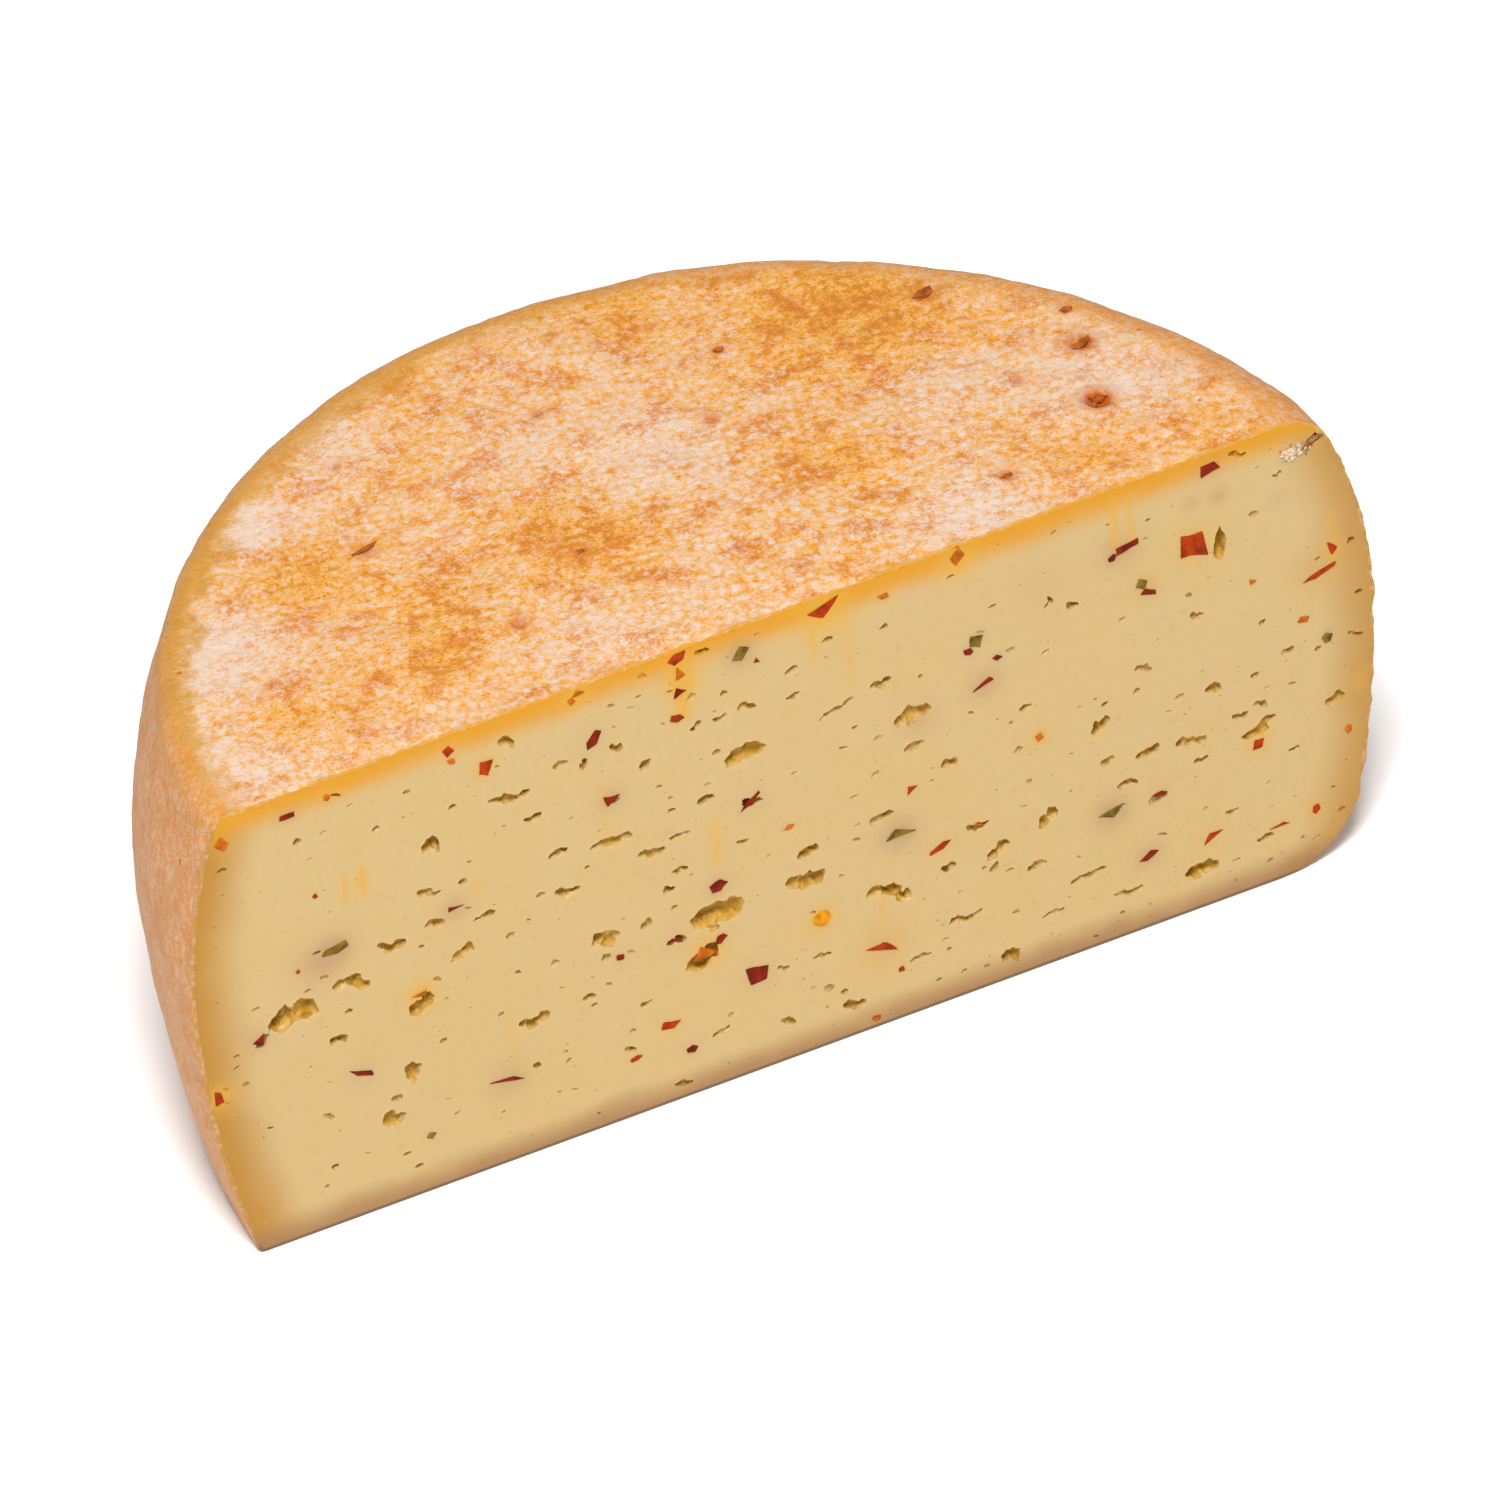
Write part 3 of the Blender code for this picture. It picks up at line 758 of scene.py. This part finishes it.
def crumb_material(colours):
    """Dry crumbs, pale with brown sides."""
    material, build, surface, where = new_material("dry_crumb")
    patch = grain(build, where, 0.0016, 0.50, 0.66, 3.0).outputs["Mask"]
    body = build.mix(patch, tuple(colours.crumb), colours.crumb_side)
    build.feed(surface.inputs["Base Color"], body)
    surface.inputs["Roughness"].default_value = 0.7
    fine = grain(build, where, 0.0004, 0.3, 0.7, 2.0).outputs["Raw"]
    build.feed(surface.inputs["Normal"], bump(build, fine, 0.0002, 0.8))
    return material


def floor_material(colours):
    """Plain pale seamless floor with the faintest unevenness."""
    material, build, surface, where = new_material("pale_floor")
    soft = grain(build, where, 0.4, 0.3, 0.7, 1.0).outputs["Raw"]
    shade = tuple(channel * 0.985 for channel in colours.floor)
    body = build.mix(soft, tuple(colours.floor), shade)
    build.feed(surface.inputs["Base Color"], body)
    surface.inputs["Roughness"].default_value = 0.9
    surface.inputs["Specular IOR Level"].default_value = 0.1
    return material


# --- Rind ---------------------------------------------------------------------------------------------------

ACROSS = 256
DEEP = 124
ROWS = 96
EDGE_CROWDING = 0.72


def rind_blank():
    """A box of quads with a dense top and wall and one face below, in unit coordinates."""
    deselect()
    bpy.ops.mesh.primitive_grid_add(x_subdivisions=ACROSS, y_subdivisions=DEEP, size=2)
    rind = bpy.context.object
    edit(rind)
    pick(rind, "EDGE", lambda edge: edge.is_boundary)
    bpy.ops.mesh.extrude_edges_move(TRANSFORM_OT_translate={"value": (0, 0, -1)})
    pick(rind, "EDGE", lambda edge: abs(edge.verts[0].co.z - edge.verts[1].co.z) > 0.5)
    bpy.ops.mesh.subdivide(number_cuts=ROWS - 1)
    pick(rind, "EDGE", lambda edge: edge.is_boundary)
    bpy.ops.mesh.edge_face_add()
    pick(rind, "FACE", lambda face: all(corner.co.y < -0.999 for corner in face.verts))
    bpy.ops.mesh.dissolve_faces()
    bpy.ops.mesh.select_all(action="SELECT")
    bpy.ops.mesh.normals_make_consistent(inside=False)
    done_editing()
    return rind


def bend_to_wheel(points):
    """Maps the blank's unit coordinates to the half wheel."""
    u = points[:, 0]
    v = (points[:, 1] + 1) / 2
    rows = np.clip(points[:, 2] + 1, 0.0, 1.0)
    crowded = (1 - np.cos(math.pi * rows)) / 2
    height = HEIGHT * (EDGE_CROWDING * crowded + (1 - EDGE_CROWDING) * rows)
    disc_x = u * np.sqrt(1 - v**2 / 2)
    disc_y = v * np.sqrt(1 - u**2 / 2)
    turn = np.arctan2(disc_y, disc_x)
    radius = np.hypot(disc_x, disc_y) * wheel_radius(height, turn)
    x = radius * np.cos(turn)
    y = CUT_Y + radius * np.sin(turn)
    return np.column_stack((x, y, risen(height, x)))


def sink_scabs(points):
    """Pits with a slightly raised lip in the top."""
    on_top = points[:, 2] > top_at(points[:, 0]) - 0.5 * MM
    for along, back, radius, depth, _ in SCABS_MM:
        away = np.hypot(points[:, 0] / MM - along, (points[:, 1] - CUT_Y) / MM - back) / radius
        close = np.flatnonzero(on_top & (away < 2.2))
        crust = 1 + 1.1 * ripple(points[close], 0.0021, 3)
        pit = np.exp(-((away[close] * 1.7) ** 2)) - 0.40 * np.exp(-(((away[close] - 1.0) * 2.6) ** 2))
        points[close, 2] -= depth * MM * pit * crust
    return points


def fray(points):
    """Makes the outline of the cut run unevenly, as the knife left the rind."""
    at_cut = points[:, 1] < CUT_Y + 0.01 * MM
    chosen = np.flatnonzero(at_cut)
    coarse = ripple(points[chosen], 0.0055, 1) * 0.45 * MM
    fine = ripple(points[chosen], 0.0017, 2) * 0.40 * MM
    stray = coarse + fine
    x, z = points[chosen, 0], points[chosen, 2]
    by_top = z > top_at(x) - 0.3 * MM
    points[chosen, 2] += np.where(by_top, stray, 0.0)
    points[chosen, 0] += np.where(by_top | (z < 0.2 * MM), 0.0, stray)
    return points


def free_to_move(piece):
    """A vertex group that holds the cut and the base still and lets the rest of the rind be uneven."""
    group = piece.vertex_groups.new(name="free")
    for index, point in enumerate(points_of(piece.data)):
        by_cut = min(1.0, (point[1] - CUT_Y) / (3 * MM))
        by_base = min(1.0, point[2] / (4 * MM))
        weight = max(0.0, min(by_cut, by_base))
        if weight > 0:
            group.add((index,), weight, "REPLACE")
    return group.name


def open_front(rind, edge, depth):
    """Turns the flat front into the rind's cut edge, with a pocket behind it that the paste fills."""
    edit(rind)
    pick(rind, "FACE", lambda face: face.normal.y < -0.99 and len(face.verts) > ACROSS)
    bpy.ops.mesh.inset(thickness=edge, depth=0)
    bpy.ops.mesh.extrude_region_move(TRANSFORM_OT_translate={"value": (0, depth, 0)})
    done_editing()


def paint_rind(mesh):
    """Writes where the bloom, the rubbed rim, the mould's dots and the scabs are."""
    points = points_of(mesh)
    x, y, z = points.T
    back = y - CUT_Y
    turn = np.arctan2(back, x)
    rim = wheel_radius(np.full(len(x), HEIGHT), turn)
    radius = np.hypot(x, back)
    below = top_at(x) - z
    on_top = below < 2.0 * MM
    paint(mesh, "rim_mm", np.where(on_top, rim - radius, -below) / MM)
    paint(mesh, "bloom", spots(x, back, BLOOM_MM) - spots(x, back, BARE_MM))
    paint(mesh, "dotted", np.clip(spots(x, back, ((-10, 30, 60, 1.2), (45, 20, 45, 0.8))), 0.0, 1.0))
    paint(mesh, "worn", np.clip(0.25 + 0.8 * spots(x, back, ((-95, 60, 70, 1.0), (-20, 120, 50, 0.6))), 0, 1))
    scabs = [(along, across, size, 1.3 * brown) for along, across, size, _, brown in SCABS_MM]
    paint(mesh, "scab", np.where(on_top, np.clip(spots(x, back, scabs), 0.0, 1.0), 0.0))


def build_rind(sizes, colours):
    rind = rind_blank()
    rind.name = "rind"
    rind.data.name = "rind"
    points = bend_to_wheel(points_of(rind.data))
    move_points(rind.data, fray(sink_scabs(points)))
    open_front(rind, sizes.rind_edge, sizes.slab)
    group = free_to_move(rind)
    roughen(rind, "slow_swell", 0.045, 0.0016, group)
    roughen(rind, "hand_marks", 0.012, 0.0007, group)
    roughen(rind, "wrinkles", 0.0035, 0.00035, group)
    paint_rind(rind.data)
    finish_piece(rind, rind_material(colours), 50)
    rind.data.materials.append(rind_edge_material(colours))
    for face in rind.data.polygons:
        if face.normal.y < -0.9 and face.center.y < CUT_Y + 0.5 * MM:
            face.material_index = 1
    return rind


# --- Paste --------------------------------------------------------------------------------------------------

FACE_ACROSS = 300
FACE_ROWS = 128
EYE_VOXEL = 0.00030
EYE_FACETS = 0.35
BEHIND = 0.05 * MM


def paste_blank(inset, depth):
    """A slab that fills the rind's pocket, with a dense front face."""
    deselect()
    bpy.ops.mesh.primitive_grid_add(x_subdivisions=FACE_ACROSS, y_subdivisions=FACE_ROWS, size=2)
    paste = bpy.context.object
    edit(paste)
    pick(paste, "EDGE", lambda edge: edge.is_boundary)
    bpy.ops.mesh.extrude_edges_move(TRANSFORM_OT_translate={"value": (0, 0, -1)})
    pick(paste, "EDGE", lambda edge: edge.is_boundary)
    bpy.ops.mesh.edge_face_add()
    bpy.ops.mesh.select_all(action="SELECT")
    bpy.ops.mesh.normals_make_consistent(inside=False)
    done_editing()
    points = points_of(paste.data)
    share = points[:, 0]
    height = inset + (HEIGHT - 2 * inset) * (points[:, 1] + 1) / 2
    turn = np.where(share >= 0, 0.0, math.pi)
    x = share * (wheel_radius(height, turn) - inset)
    y = CUT_Y - BEHIND - points[:, 2] * depth
    move_points(paste.data, np.column_stack((x, y, risen(height, x))))
    return paste


def ball(subdivisions):
    deselect()
    bpy.ops.mesh.primitive_ico_sphere_add(subdivisions=subdivisions, radius=1.0)
    return bpy.context.object


def face_matrix(along, height, half_width, half_depth, half_height, tilt, y=0.0):
    """Places a unit shape on the cut's plane. Sizes are in millimetres, tilt in degrees."""
    place = Matrix.Translation((along * MM, CUT_Y + y * MM, height * MM))
    turned = Matrix.Rotation(-math.radians(tilt), 4, "Y")
    scale = Matrix.Diagonal((half_width * MM, half_depth * MM, half_height * MM, 1.0))
    return place @ turned @ scale


def eye_lobes(model, draw, eye):
    """The overlapping balls that make one uneven eye."""
    along, height, width, thick, tilt = eye
    count = min(6, 1 + round(width / (1.5 * thick)))
    lean = math.radians(tilt)
    lobes = []
    for i in range(count):
        share = (i + 0.5) / count - 0.5
        run = share * width * 0.85
        lift = draw.uniform(-0.26, 0.26) * thick
        half_width = width / count * draw.uniform(0.55, 0.85)
        half_thick = thick / 2 * draw.uniform(1.05, 1.50) * (1 - 0.6 * abs(share))
        half_depth = thick * draw.uniform(0.50, 0.85)
        x = along + run * math.cos(lean) - lift * math.sin(lean)
        z = height + run * math.sin(lean) + lift * math.cos(lean)
        turn = tilt + draw.uniform(-40, 40)
        lobe = own_copy(model, Matrix.Identity(4))
        for vertex in lobe.data.vertices:
            vertex.co *= draw.uniform(0.75, 1.35)
        lobe.data.transform(face_matrix(x, z, half_width, half_depth, half_thick, turn, 0.1))
        lobes.append(lobe)
    return lobes


def near_an_eye(along, height, margin):
    for x, z, width, thick, _ in EYES_MM:
        if abs(along - x) < width / 2 + margin and abs(height - z) < max(thick, width * 0.4) / 2 + margin:
            return True
    return False


def scattered_holes(draw, count, smallest, largest, taken):
    """Seeded places for small holes, clear of the eyes, of each other and of the rind."""
    holes = []
    tries = 0
    while len(holes) < count and tries < count * 60:
        tries += 1
        along = draw.uniform(-118, 118)
        height = draw.uniform(2.0, 101.0)
        turn = 0.0 if along > 0 else math.pi
        reach = wheel_radius(unrisen(height * MM, along * MM), turn) / MM
        width = draw.uniform(smallest, largest) * draw.uniform(0.7, 1.0)
        if abs(along) > reach - 3.0 or height > top_at(along * MM) / MM - 2.5:
            continue
        if near_an_eye(along, height, width) or any(
            math.hypot(along - x, height - z) < (width + w) * 0.75 for x, z, w in taken
        ):
            continue
        taken.append((along, height, width))
        holes.append((along, height, width, width * draw.uniform(0.35, 0.85), draw.uniform(-30, 25)))
    return holes


def eyes_cutter(sizes):
    """All eyes and holes as one closed cutter."""
    draw = random.Random(11)
    model = ball(1)
    lobes = []
    for eye in EYES_MM:
        lobes += eye_lobes(model, draw, eye)
    lobes.append(own_copy(model, face_matrix(*CORNER_NOTCH_MM)))
    remove(model)
    eyes = join(lobes, "eyes_cutter")
    remesh = eyes.modifiers.new("Blend", "REMESH")
    remesh.mode = "VOXEL"
    remesh.voxel_size = EYE_VOXEL
    apply_modifier(eyes, remesh)
    roughen(eyes, "torn_walls", 0.0016, 0.0010)
    roughen(eyes, "curd_walls", 0.0007, 0.0005)
    decimate = eyes.modifiers.new("Facets", "DECIMATE")
    decimate.ratio = EYE_FACETS
    apply_modifier(eyes, decimate)

    taken = []
    small_model = ball(1)
    pin_model = ball(2)
    small = []
    for along, height, width, thick, tilt in scattered_holes(draw, sizes.small_eyes, 1.0, 2.9, taken):
        depth = thick * draw.uniform(0.3, 0.8)
        hole = own_copy(small_model, Matrix.Identity(4))
        for vertex in hole.data.vertices:
            vertex.co *= draw.uniform(0.7, 1.3)
        hole.data.transform(face_matrix(along, height, width / 2, depth, thick / 2, tilt))
        small.append(hole)
    for along, height, width, thick, tilt in scattered_holes(draw, sizes.pin_holes, 0.45, 0.9, taken):
        small.append(own_copy(pin_model, face_matrix(along, height, width / 2, 0.16, thick / 2, tilt)))
    remove(small_model)
    remove(pin_model)
    holes = join(small, "holes_cutter")
    roughen(holes, "uneven_holes", 0.0009, 0.0003)
    return join([eyes, holes], "eyes_cutter")


def subtract(piece, cutter):
    difference = piece.modifiers.new("Eyes", "BOOLEAN")
    difference.operation = "DIFFERENCE"
    difference.solver = "MANIFOLD"
    difference.object = cutter
    apply_modifier(piece, difference)
    remove(cutter)


def streaks(x, z):
    total = np.zeros(len(x))
    for along, lowest, highest, width, strength in STREAKS_MM:
        across = np.exp(-(((x / MM - along) / width) ** 2))
        high = z / MM
        fade = np.clip((high - lowest) / 3, 0, 1) * np.clip((highest - high) / 2, 0, 1)
        total += strength * across * fade
    return total


def paint_paste(mesh):
    """Writes how far the rind is, and where oil and bruises stain the paste."""
    x, _, z = points_of(mesh).T
    turn = np.where(x >= 0, 0.0, math.pi)
    side = wheel_radius(unrisen(z, x), turn) - np.abs(x)
    paint(mesh, "side_mm", side / MM)
    paint(mesh, "top_mm", (top_at(x) - z) / MM)
    reds = [(a, h, 0.9 * max(w, t), 0.30) for a, h, w, t, *_ in RED_MM + ORANGE_MM]
    oil = spots(x, z, list(OIL_MM) + reds) + streaks(x, z)
    paint(mesh, "oil", np.clip(oil, 0.0, 0.85))
    darks = [(a, h, 0.9 * max(w, t), 0.25) for a, h, w, t, *_ in CRIMSON_MM + HERB_MM]
    paint(mesh, "bruise", np.clip(spots(x, z, list(BRUISE_MM) + darks), 0.0, 0.75))


def build_paste(sizes, colours):
    overlap = 0.3 * MM
    paste = paste_blank(sizes.rind_edge - overlap, sizes.slab + overlap)
    paste.name = "paste"
    paste.data.name = "paste"
    subtract(paste, eyes_cutter(sizes))
    paint_paste(paste.data)
    finish_piece(paste, paste_material(colours), 38)
    return paste


# --- Flakes, seed and crumbs --------------------------------------------------------------------------------


def chip_model(corners):
    """One flat chip of radius 1 and thickness 1, with a few crisp corners, one side of it level."""
    deselect()
    bpy.ops.mesh.primitive_cylinder_add(vertices=corners, radius=1.2, depth=1.0, rotation=(math.pi / 2, 0, 0))
    chip = bpy.context.object
    bpy.ops.object.transform_apply(location=False, rotation=True, scale=False)
    chip.data.transform(Matrix.Rotation(math.pi / corners, 4, "Y"))
    edit(chip)
    bpy.ops.mesh.select_all(action="SELECT")
    bpy.ops.mesh.bevel(offset=0.08, segments=2, affect="EDGES")
    bpy.ops.mesh.subdivide(number_cuts=2)
    done_editing()
    return chip


def shape_chip(mesh, draw, turned):
    """Makes a copied chip unlike the others, and turns it any way round if that is asked for."""
    phase = draw.uniform(0, 6.28)
    skew = draw.uniform(-0.30, 0.30)
    taper = draw.uniform(-0.25, 0.25)
    if turned:
        mesh.transform(Matrix.Rotation(phase, 4, "Y"))
    for vertex in mesh.vertices:
        vertex.co.x *= 1 + taper * vertex.co.z
        vertex.co.z *= 1 + 0.15 * math.sin(2 * vertex.co.x + phase)
        vertex.co.x += skew * vertex.co.z


CHIP_THICKNESS_MM = 0.8


def face_chips(name, places, material, sizes, seed):
    """One piece of all flakes of a kind, each lying across the cut's plane and a little proud of it."""
    draw = random.Random(seed)
    models = {corners: chip_model(corners) for corners in (3, 4, 5)}
    made = []
    for along, height, width, thick, tilt, *corners in places:
        count = corners[0] if corners else draw.choice((3, 4, 4, 5))
        chip = own_copy(models[count], Matrix.Identity(4))
        shape_chip(chip.data, draw, turned=not corners)
        back = CHIP_THICKNESS_MM / 2 - sizes.flake_proud / MM
        chip.data.transform(face_matrix(along, height, width / 2, CHIP_THICKNESS_MM, thick / 2, tilt, back))
        made.append(chip)
    for model in models.values():
        remove(model)
    piece = join(made, name)
    roughen(piece, name + "_uneven", 0.0015, 0.0002)
    finish_piece(piece, material, 50)
    return piece


def rind_chips(material, seed):
    """Chips that lie in the top of the rind."""
    draw = random.Random(seed)
    model = chip_model(5)
    made = []
    for along, back, width, thick, turn in RIND_CHIPS_MM:
        chip = own_copy(model, Matrix.Rotation(math.pi / 2, 4, "X"))
        for vertex in chip.data.vertices:
            vertex.co.x *= draw.uniform(0.9, 1.1)
        scale = Matrix.Diagonal((width / 2 * MM, thick / 2 * MM, 0.7 * MM, 1.0))
        spot = Vector((along * MM, CUT_Y + back * MM, top_at(along * MM) - 0.25 * MM))
        place = Matrix.Translation(spot) @ Matrix.Rotation(math.radians(turn), 4, "Z") @ scale
        chip.data.transform(place)
        made.append(chip)
    remove(model)
    piece = join(made, "rind_chips")
    roughen(piece, "rind_chips_uneven", 0.0012, 0.0005)
    finish_piece(piece, material, 60)
    return piece


def build_seed(colours):
    """A flat round pepper seed that stands a little proud of the face."""
    along, height, width = SEED_MM
    deselect()
    bpy.ops.mesh.primitive_uv_sphere_add(segments=28, ring_count=16, radius=1.0, rotation=(math.pi / 2, 0, 0))
    seed = bpy.context.object
    bpy.ops.object.transform_apply(location=False, rotation=True, scale=False)
    seed.data.transform(face_matrix(along, height, width / 2, 0.6, width / 2 * 0.94, 0, 0.25))
    seed.name = "pepper_seed"
    seed.data.name = "pepper_seed"
    roughen(seed, "seed_uneven", 0.0018, 0.0003)
    finish_piece(seed, flake_material("pepper_seed", tuple(colours.seed), 0.6), 60)
    return seed


CURL_SCALES = 22
CURL_ARCH_MM = 0.9
CURL_TILT = 28


def corner_crumbs(draw, model, count):
    """A heap of crumbs where the corner has broken."""
    along, height, spread = CORNER_CRUMBS_MM
    made = []
    for _ in range(count):
        x = along + max(-1.8, min(1.8, draw.gauss(0, 0.8))) * spread
        z = height + max(-1.3, min(1.3, draw.gauss(0, 0.5))) * spread * 0.75
        size = draw.uniform(0.14, 0.42)
        high = size * draw.uniform(0.6, 1.0)
        place = face_matrix(x, z, size, size * 0.9, high, draw.uniform(0, 180), -0.05)
        made.append(own_copy(model, place))
    piece = join(made, "corner_crumbs")
    roughen(piece, "crumbs_uneven", 0.0006, 0.0004)
    return piece


def corner_crust(draw, model):
    """A curl of dry crust above the crumbs."""
    start, end = CORNER_CURL_MM
    made = []
    for i in range(CURL_SCALES):
        share = i / (CURL_SCALES - 1)
        arch = CURL_ARCH_MM * math.sin(math.pi * share)
        x = start[0] + (end[0] - start[0]) * share + draw.uniform(-0.3, 0.3)
        z = start[1] + (end[1] - start[1]) * share + arch * draw.uniform(0.2, 1.0)
        half = draw.uniform(0.4, 0.85)
        tilt = CURL_TILT + draw.uniform(-35, 35)
        place = face_matrix(x, z, half, half * 0.7, half * draw.uniform(0.25, 0.6), tilt, 0.1)
        made.append(own_copy(model, place))
    piece = join(made, "corner_crust")
    roughen(piece, "crust_uneven", 0.0009, 0.0006)
    return piece


def build_corner(sizes, colours):
    """The crumbs and the crust of the broken corner."""
    draw = random.Random(5)
    model = ball(1)
    crumbs = corner_crumbs(draw, model, sizes.crumbs)
    finish_piece(crumbs, crumb_material(colours), 60)
    crust = corner_crust(draw, model)
    remove(model)
    finish_piece(crust, flake_material("dry_crust", tuple(colours.crust), 0.32, 0.6), 40)


# --- Stage --------------------------------------------------------------------------------------------------

VIEW_AZIMUTH = -23.81
VIEW_ELEVATION = 37.26
VIEW_ROLL = -4.66
VIEW_DISTANCE = 2.058
VIEW_LENS = 265.2
VIEW_AIM = Vector((0.0, CUT_Y + 0.042, 0.048))
VIEW_ASIDE = 0.00991
VIEW_DOWN = 0.00404
# Soft lights, as (name, place, size, power, colour).
LIGHTS = (
    ("key", (-0.43, -0.98, 1.92), 0.60, 62.0, (1.0, 0.99, 0.985)),
    ("front_fill", (-0.30, -1.7, 0.22), 0.40, 5.0, (1.0, 0.995, 0.99)),
)
STUDIO_STRENGTH = 0.36


def camera_axes():
    """The camera's right, up and backward directions."""
    a, e, roll = (math.radians(angle) for angle in (VIEW_AZIMUTH, VIEW_ELEVATION, VIEW_ROLL))
    back = Vector((math.sin(a) * math.cos(e), -math.cos(a) * math.cos(e), math.sin(e)))
    level = (-back).cross(Vector((0, 0, 1))).normalized()
    upright = level.cross(-back)
    right = math.cos(roll) * level + math.sin(roll) * upright
    up = -math.sin(roll) * level + math.cos(roll) * upright
    return right, up, back


def add_camera():
    right, up, back = camera_axes()
    aim = VIEW_AIM + right * VIEW_ASIDE - up * VIEW_DOWN
    turned = Matrix((right, up, back)).transposed()
    deselect()
    bpy.ops.object.camera_add(location=aim + back * VIEW_DISTANCE, rotation=turned.to_euler())
    camera = bpy.context.object
    camera.data.lens = VIEW_LENS
    camera.data.sensor_width = 36.0
    camera.data.clip_start = 0.1
    camera.data.clip_end = 20.0
    bpy.context.scene.camera = camera


def add_soft_light(name, location, size, power, colour):
    """A square area light that faces the middle of the cheese."""
    aim = Vector((0, 0, HEIGHT / 2))
    facing = (aim - Vector(location)).to_track_quat("-Z", "Y").to_euler()
    deselect()
    bpy.ops.object.light_add(type="AREA", location=location, rotation=facing)
    light = bpy.context.object
    light.name = name
    light.data.shape = "SQUARE"
    light.data.size = size
    light.data.energy = power
    light.data.color = colour


def add_stage(colours):
    deselect()
    bpy.ops.mesh.primitive_plane_add(size=6.0, location=(0, 0, 0))
    floor = bpy.context.object
    floor.name = "floor"
    floor.data.materials.append(floor_material(colours))
    for light in LIGHTS:
        add_soft_light(*light)
    world = bpy.data.worlds.new("studio")
    world.use_nodes = True
    sky = world.node_tree.nodes["Background"]
    sky.inputs["Color"].default_value = (1.0, 1.0, 1.0, 1.0)
    sky.inputs["Strength"].default_value = STUDIO_STRENGTH
    bpy.context.scene.world = world
    bpy.context.scene.view_settings.view_transform = "Standard"


# --- Operators ----------------------------------------------------------------------------------------------


class CHEESE_OT_rind(bpy.types.Operator):
    """Adds the rind: top, side, base and the cut edge round the paste"""

    bl_idname = "cheese.add_rind"
    bl_label = "Rind"

    def execute(self, context):
        rind = build_rind(context.scene.cheese_sizes, context.scene.cheese_colours)
        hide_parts(NODE)
        return {"FINISHED"}


class CHEESE_OT_paste(bpy.types.Operator):
    """Adds the cut paste with its eyes and holes"""

    bl_idname = "cheese.add_paste"
    bl_label = "Paste"

    def execute(self, context):
        build_paste(context.scene.cheese_sizes, context.scene.cheese_colours)
        return {"FINISHED"}


class CHEESE_OT_flakes(bpy.types.Operator):
    """Adds the pepper and herb flakes in the cut face and in the rind"""

    bl_idname = "cheese.add_flakes"
    bl_label = "Flakes"

    def execute(self, context):
        sizes = context.scene.cheese_sizes
        colours = context.scene.cheese_colours
        red = flake_material("red_pepper", tuple(colours.red), 0.55)
        crimson = flake_material("crimson_pepper", tuple(colours.crimson), 0.5)
        orange = flake_material("orange_pepper", tuple(colours.orange), 0.6)
        herb = flake_material("herb_leaf", tuple(colours.herb), 0.35)
        face_chips("flakes_red", RED_MM, red, sizes, 21)
        face_chips("flakes_crimson", CRIMSON_MM, crimson, sizes, 22)
        face_chips("flakes_orange", ORANGE_MM, orange, sizes, 23)
        face_chips("flakes_herb", HERB_MM, herb, sizes, 24)
        rind_chips(flake_material("rind_pepper", tuple(colours.rind_pepper), 0.5, 0.5), 25)
        return {"FINISHED"}


class CHEESE_OT_seed(bpy.types.Operator):
    """Adds the pepper seed in the cut face"""

    bl_idname = "cheese.add_seed"
    bl_label = "Pepper seed"

    def execute(self, context):
        build_seed(context.scene.cheese_colours)
        return {"FINISHED"}


class CHEESE_OT_crumbs(bpy.types.Operator):
    """Adds the crumbs and the crust of the broken corner"""

    bl_idname = "cheese.add_crumbs"
    bl_label = "Crumbs"

    def execute(self, context):
        build_corner(context.scene.cheese_sizes, context.scene.cheese_colours)
        return {"FINISHED"}


class CHEESE_OT_stage(bpy.types.Operator):
    """Adds the camera, the pale floor and the soft lights"""

    bl_idname = "cheese.add_stage"
    bl_label = "Stage"

    def execute(self, context):
        add_camera()
        add_stage(context.scene.cheese_colours)
        return {"FINISHED"}


class CHEESE_PT_panel(bpy.types.Panel):
    """Lists the cheese's pieces, sizes and colours"""

    bl_idname = "CHEESE_PT_panel"
    bl_label = "Half cheese wheel"
    bl_space_type = "VIEW_3D"
    bl_region_type = "UI"
    bl_category = "Cheese"

    def draw(self, context):
        for operator in OPERATORS:
            self.layout.operator(operator.bl_idname)
        for group in (context.scene.cheese_sizes, context.scene.cheese_colours):
            box = self.layout.box()
            for name in group.__annotations__:
                box.prop(group, name)


OPERATORS = (
    CHEESE_OT_rind,
    CHEESE_OT_paste,
    CHEESE_OT_flakes,
    CHEESE_OT_seed,
    CHEESE_OT_crumbs,
    CHEESE_OT_stage,
)
CLASSES = (CheeseSizes, CheeseColours, *OPERATORS, CHEESE_PT_panel)


def register():
    for made in CLASSES:
        bpy.utils.register_class(made)
    bpy.types.Scene.cheese_sizes = bpy.props.PointerProperty(type=CheeseSizes)
    bpy.types.Scene.cheese_colours = bpy.props.PointerProperty(type=CheeseColours)


def unregister():
    del bpy.types.Scene.cheese_colours
    del bpy.types.Scene.cheese_sizes
    for made in reversed(CLASSES):
        bpy.utils.unregister_class(made)


def main():
    register()
    bpy.ops.cheese.add_stage()
    bpy.ops.cheese.add_rind()
    bpy.ops.cheese.add_paste()
    bpy.ops.cheese.add_flakes()
    bpy.ops.cheese.add_seed()
    bpy.ops.cheese.add_crumbs()


if __name__ == "__main__":
    main()
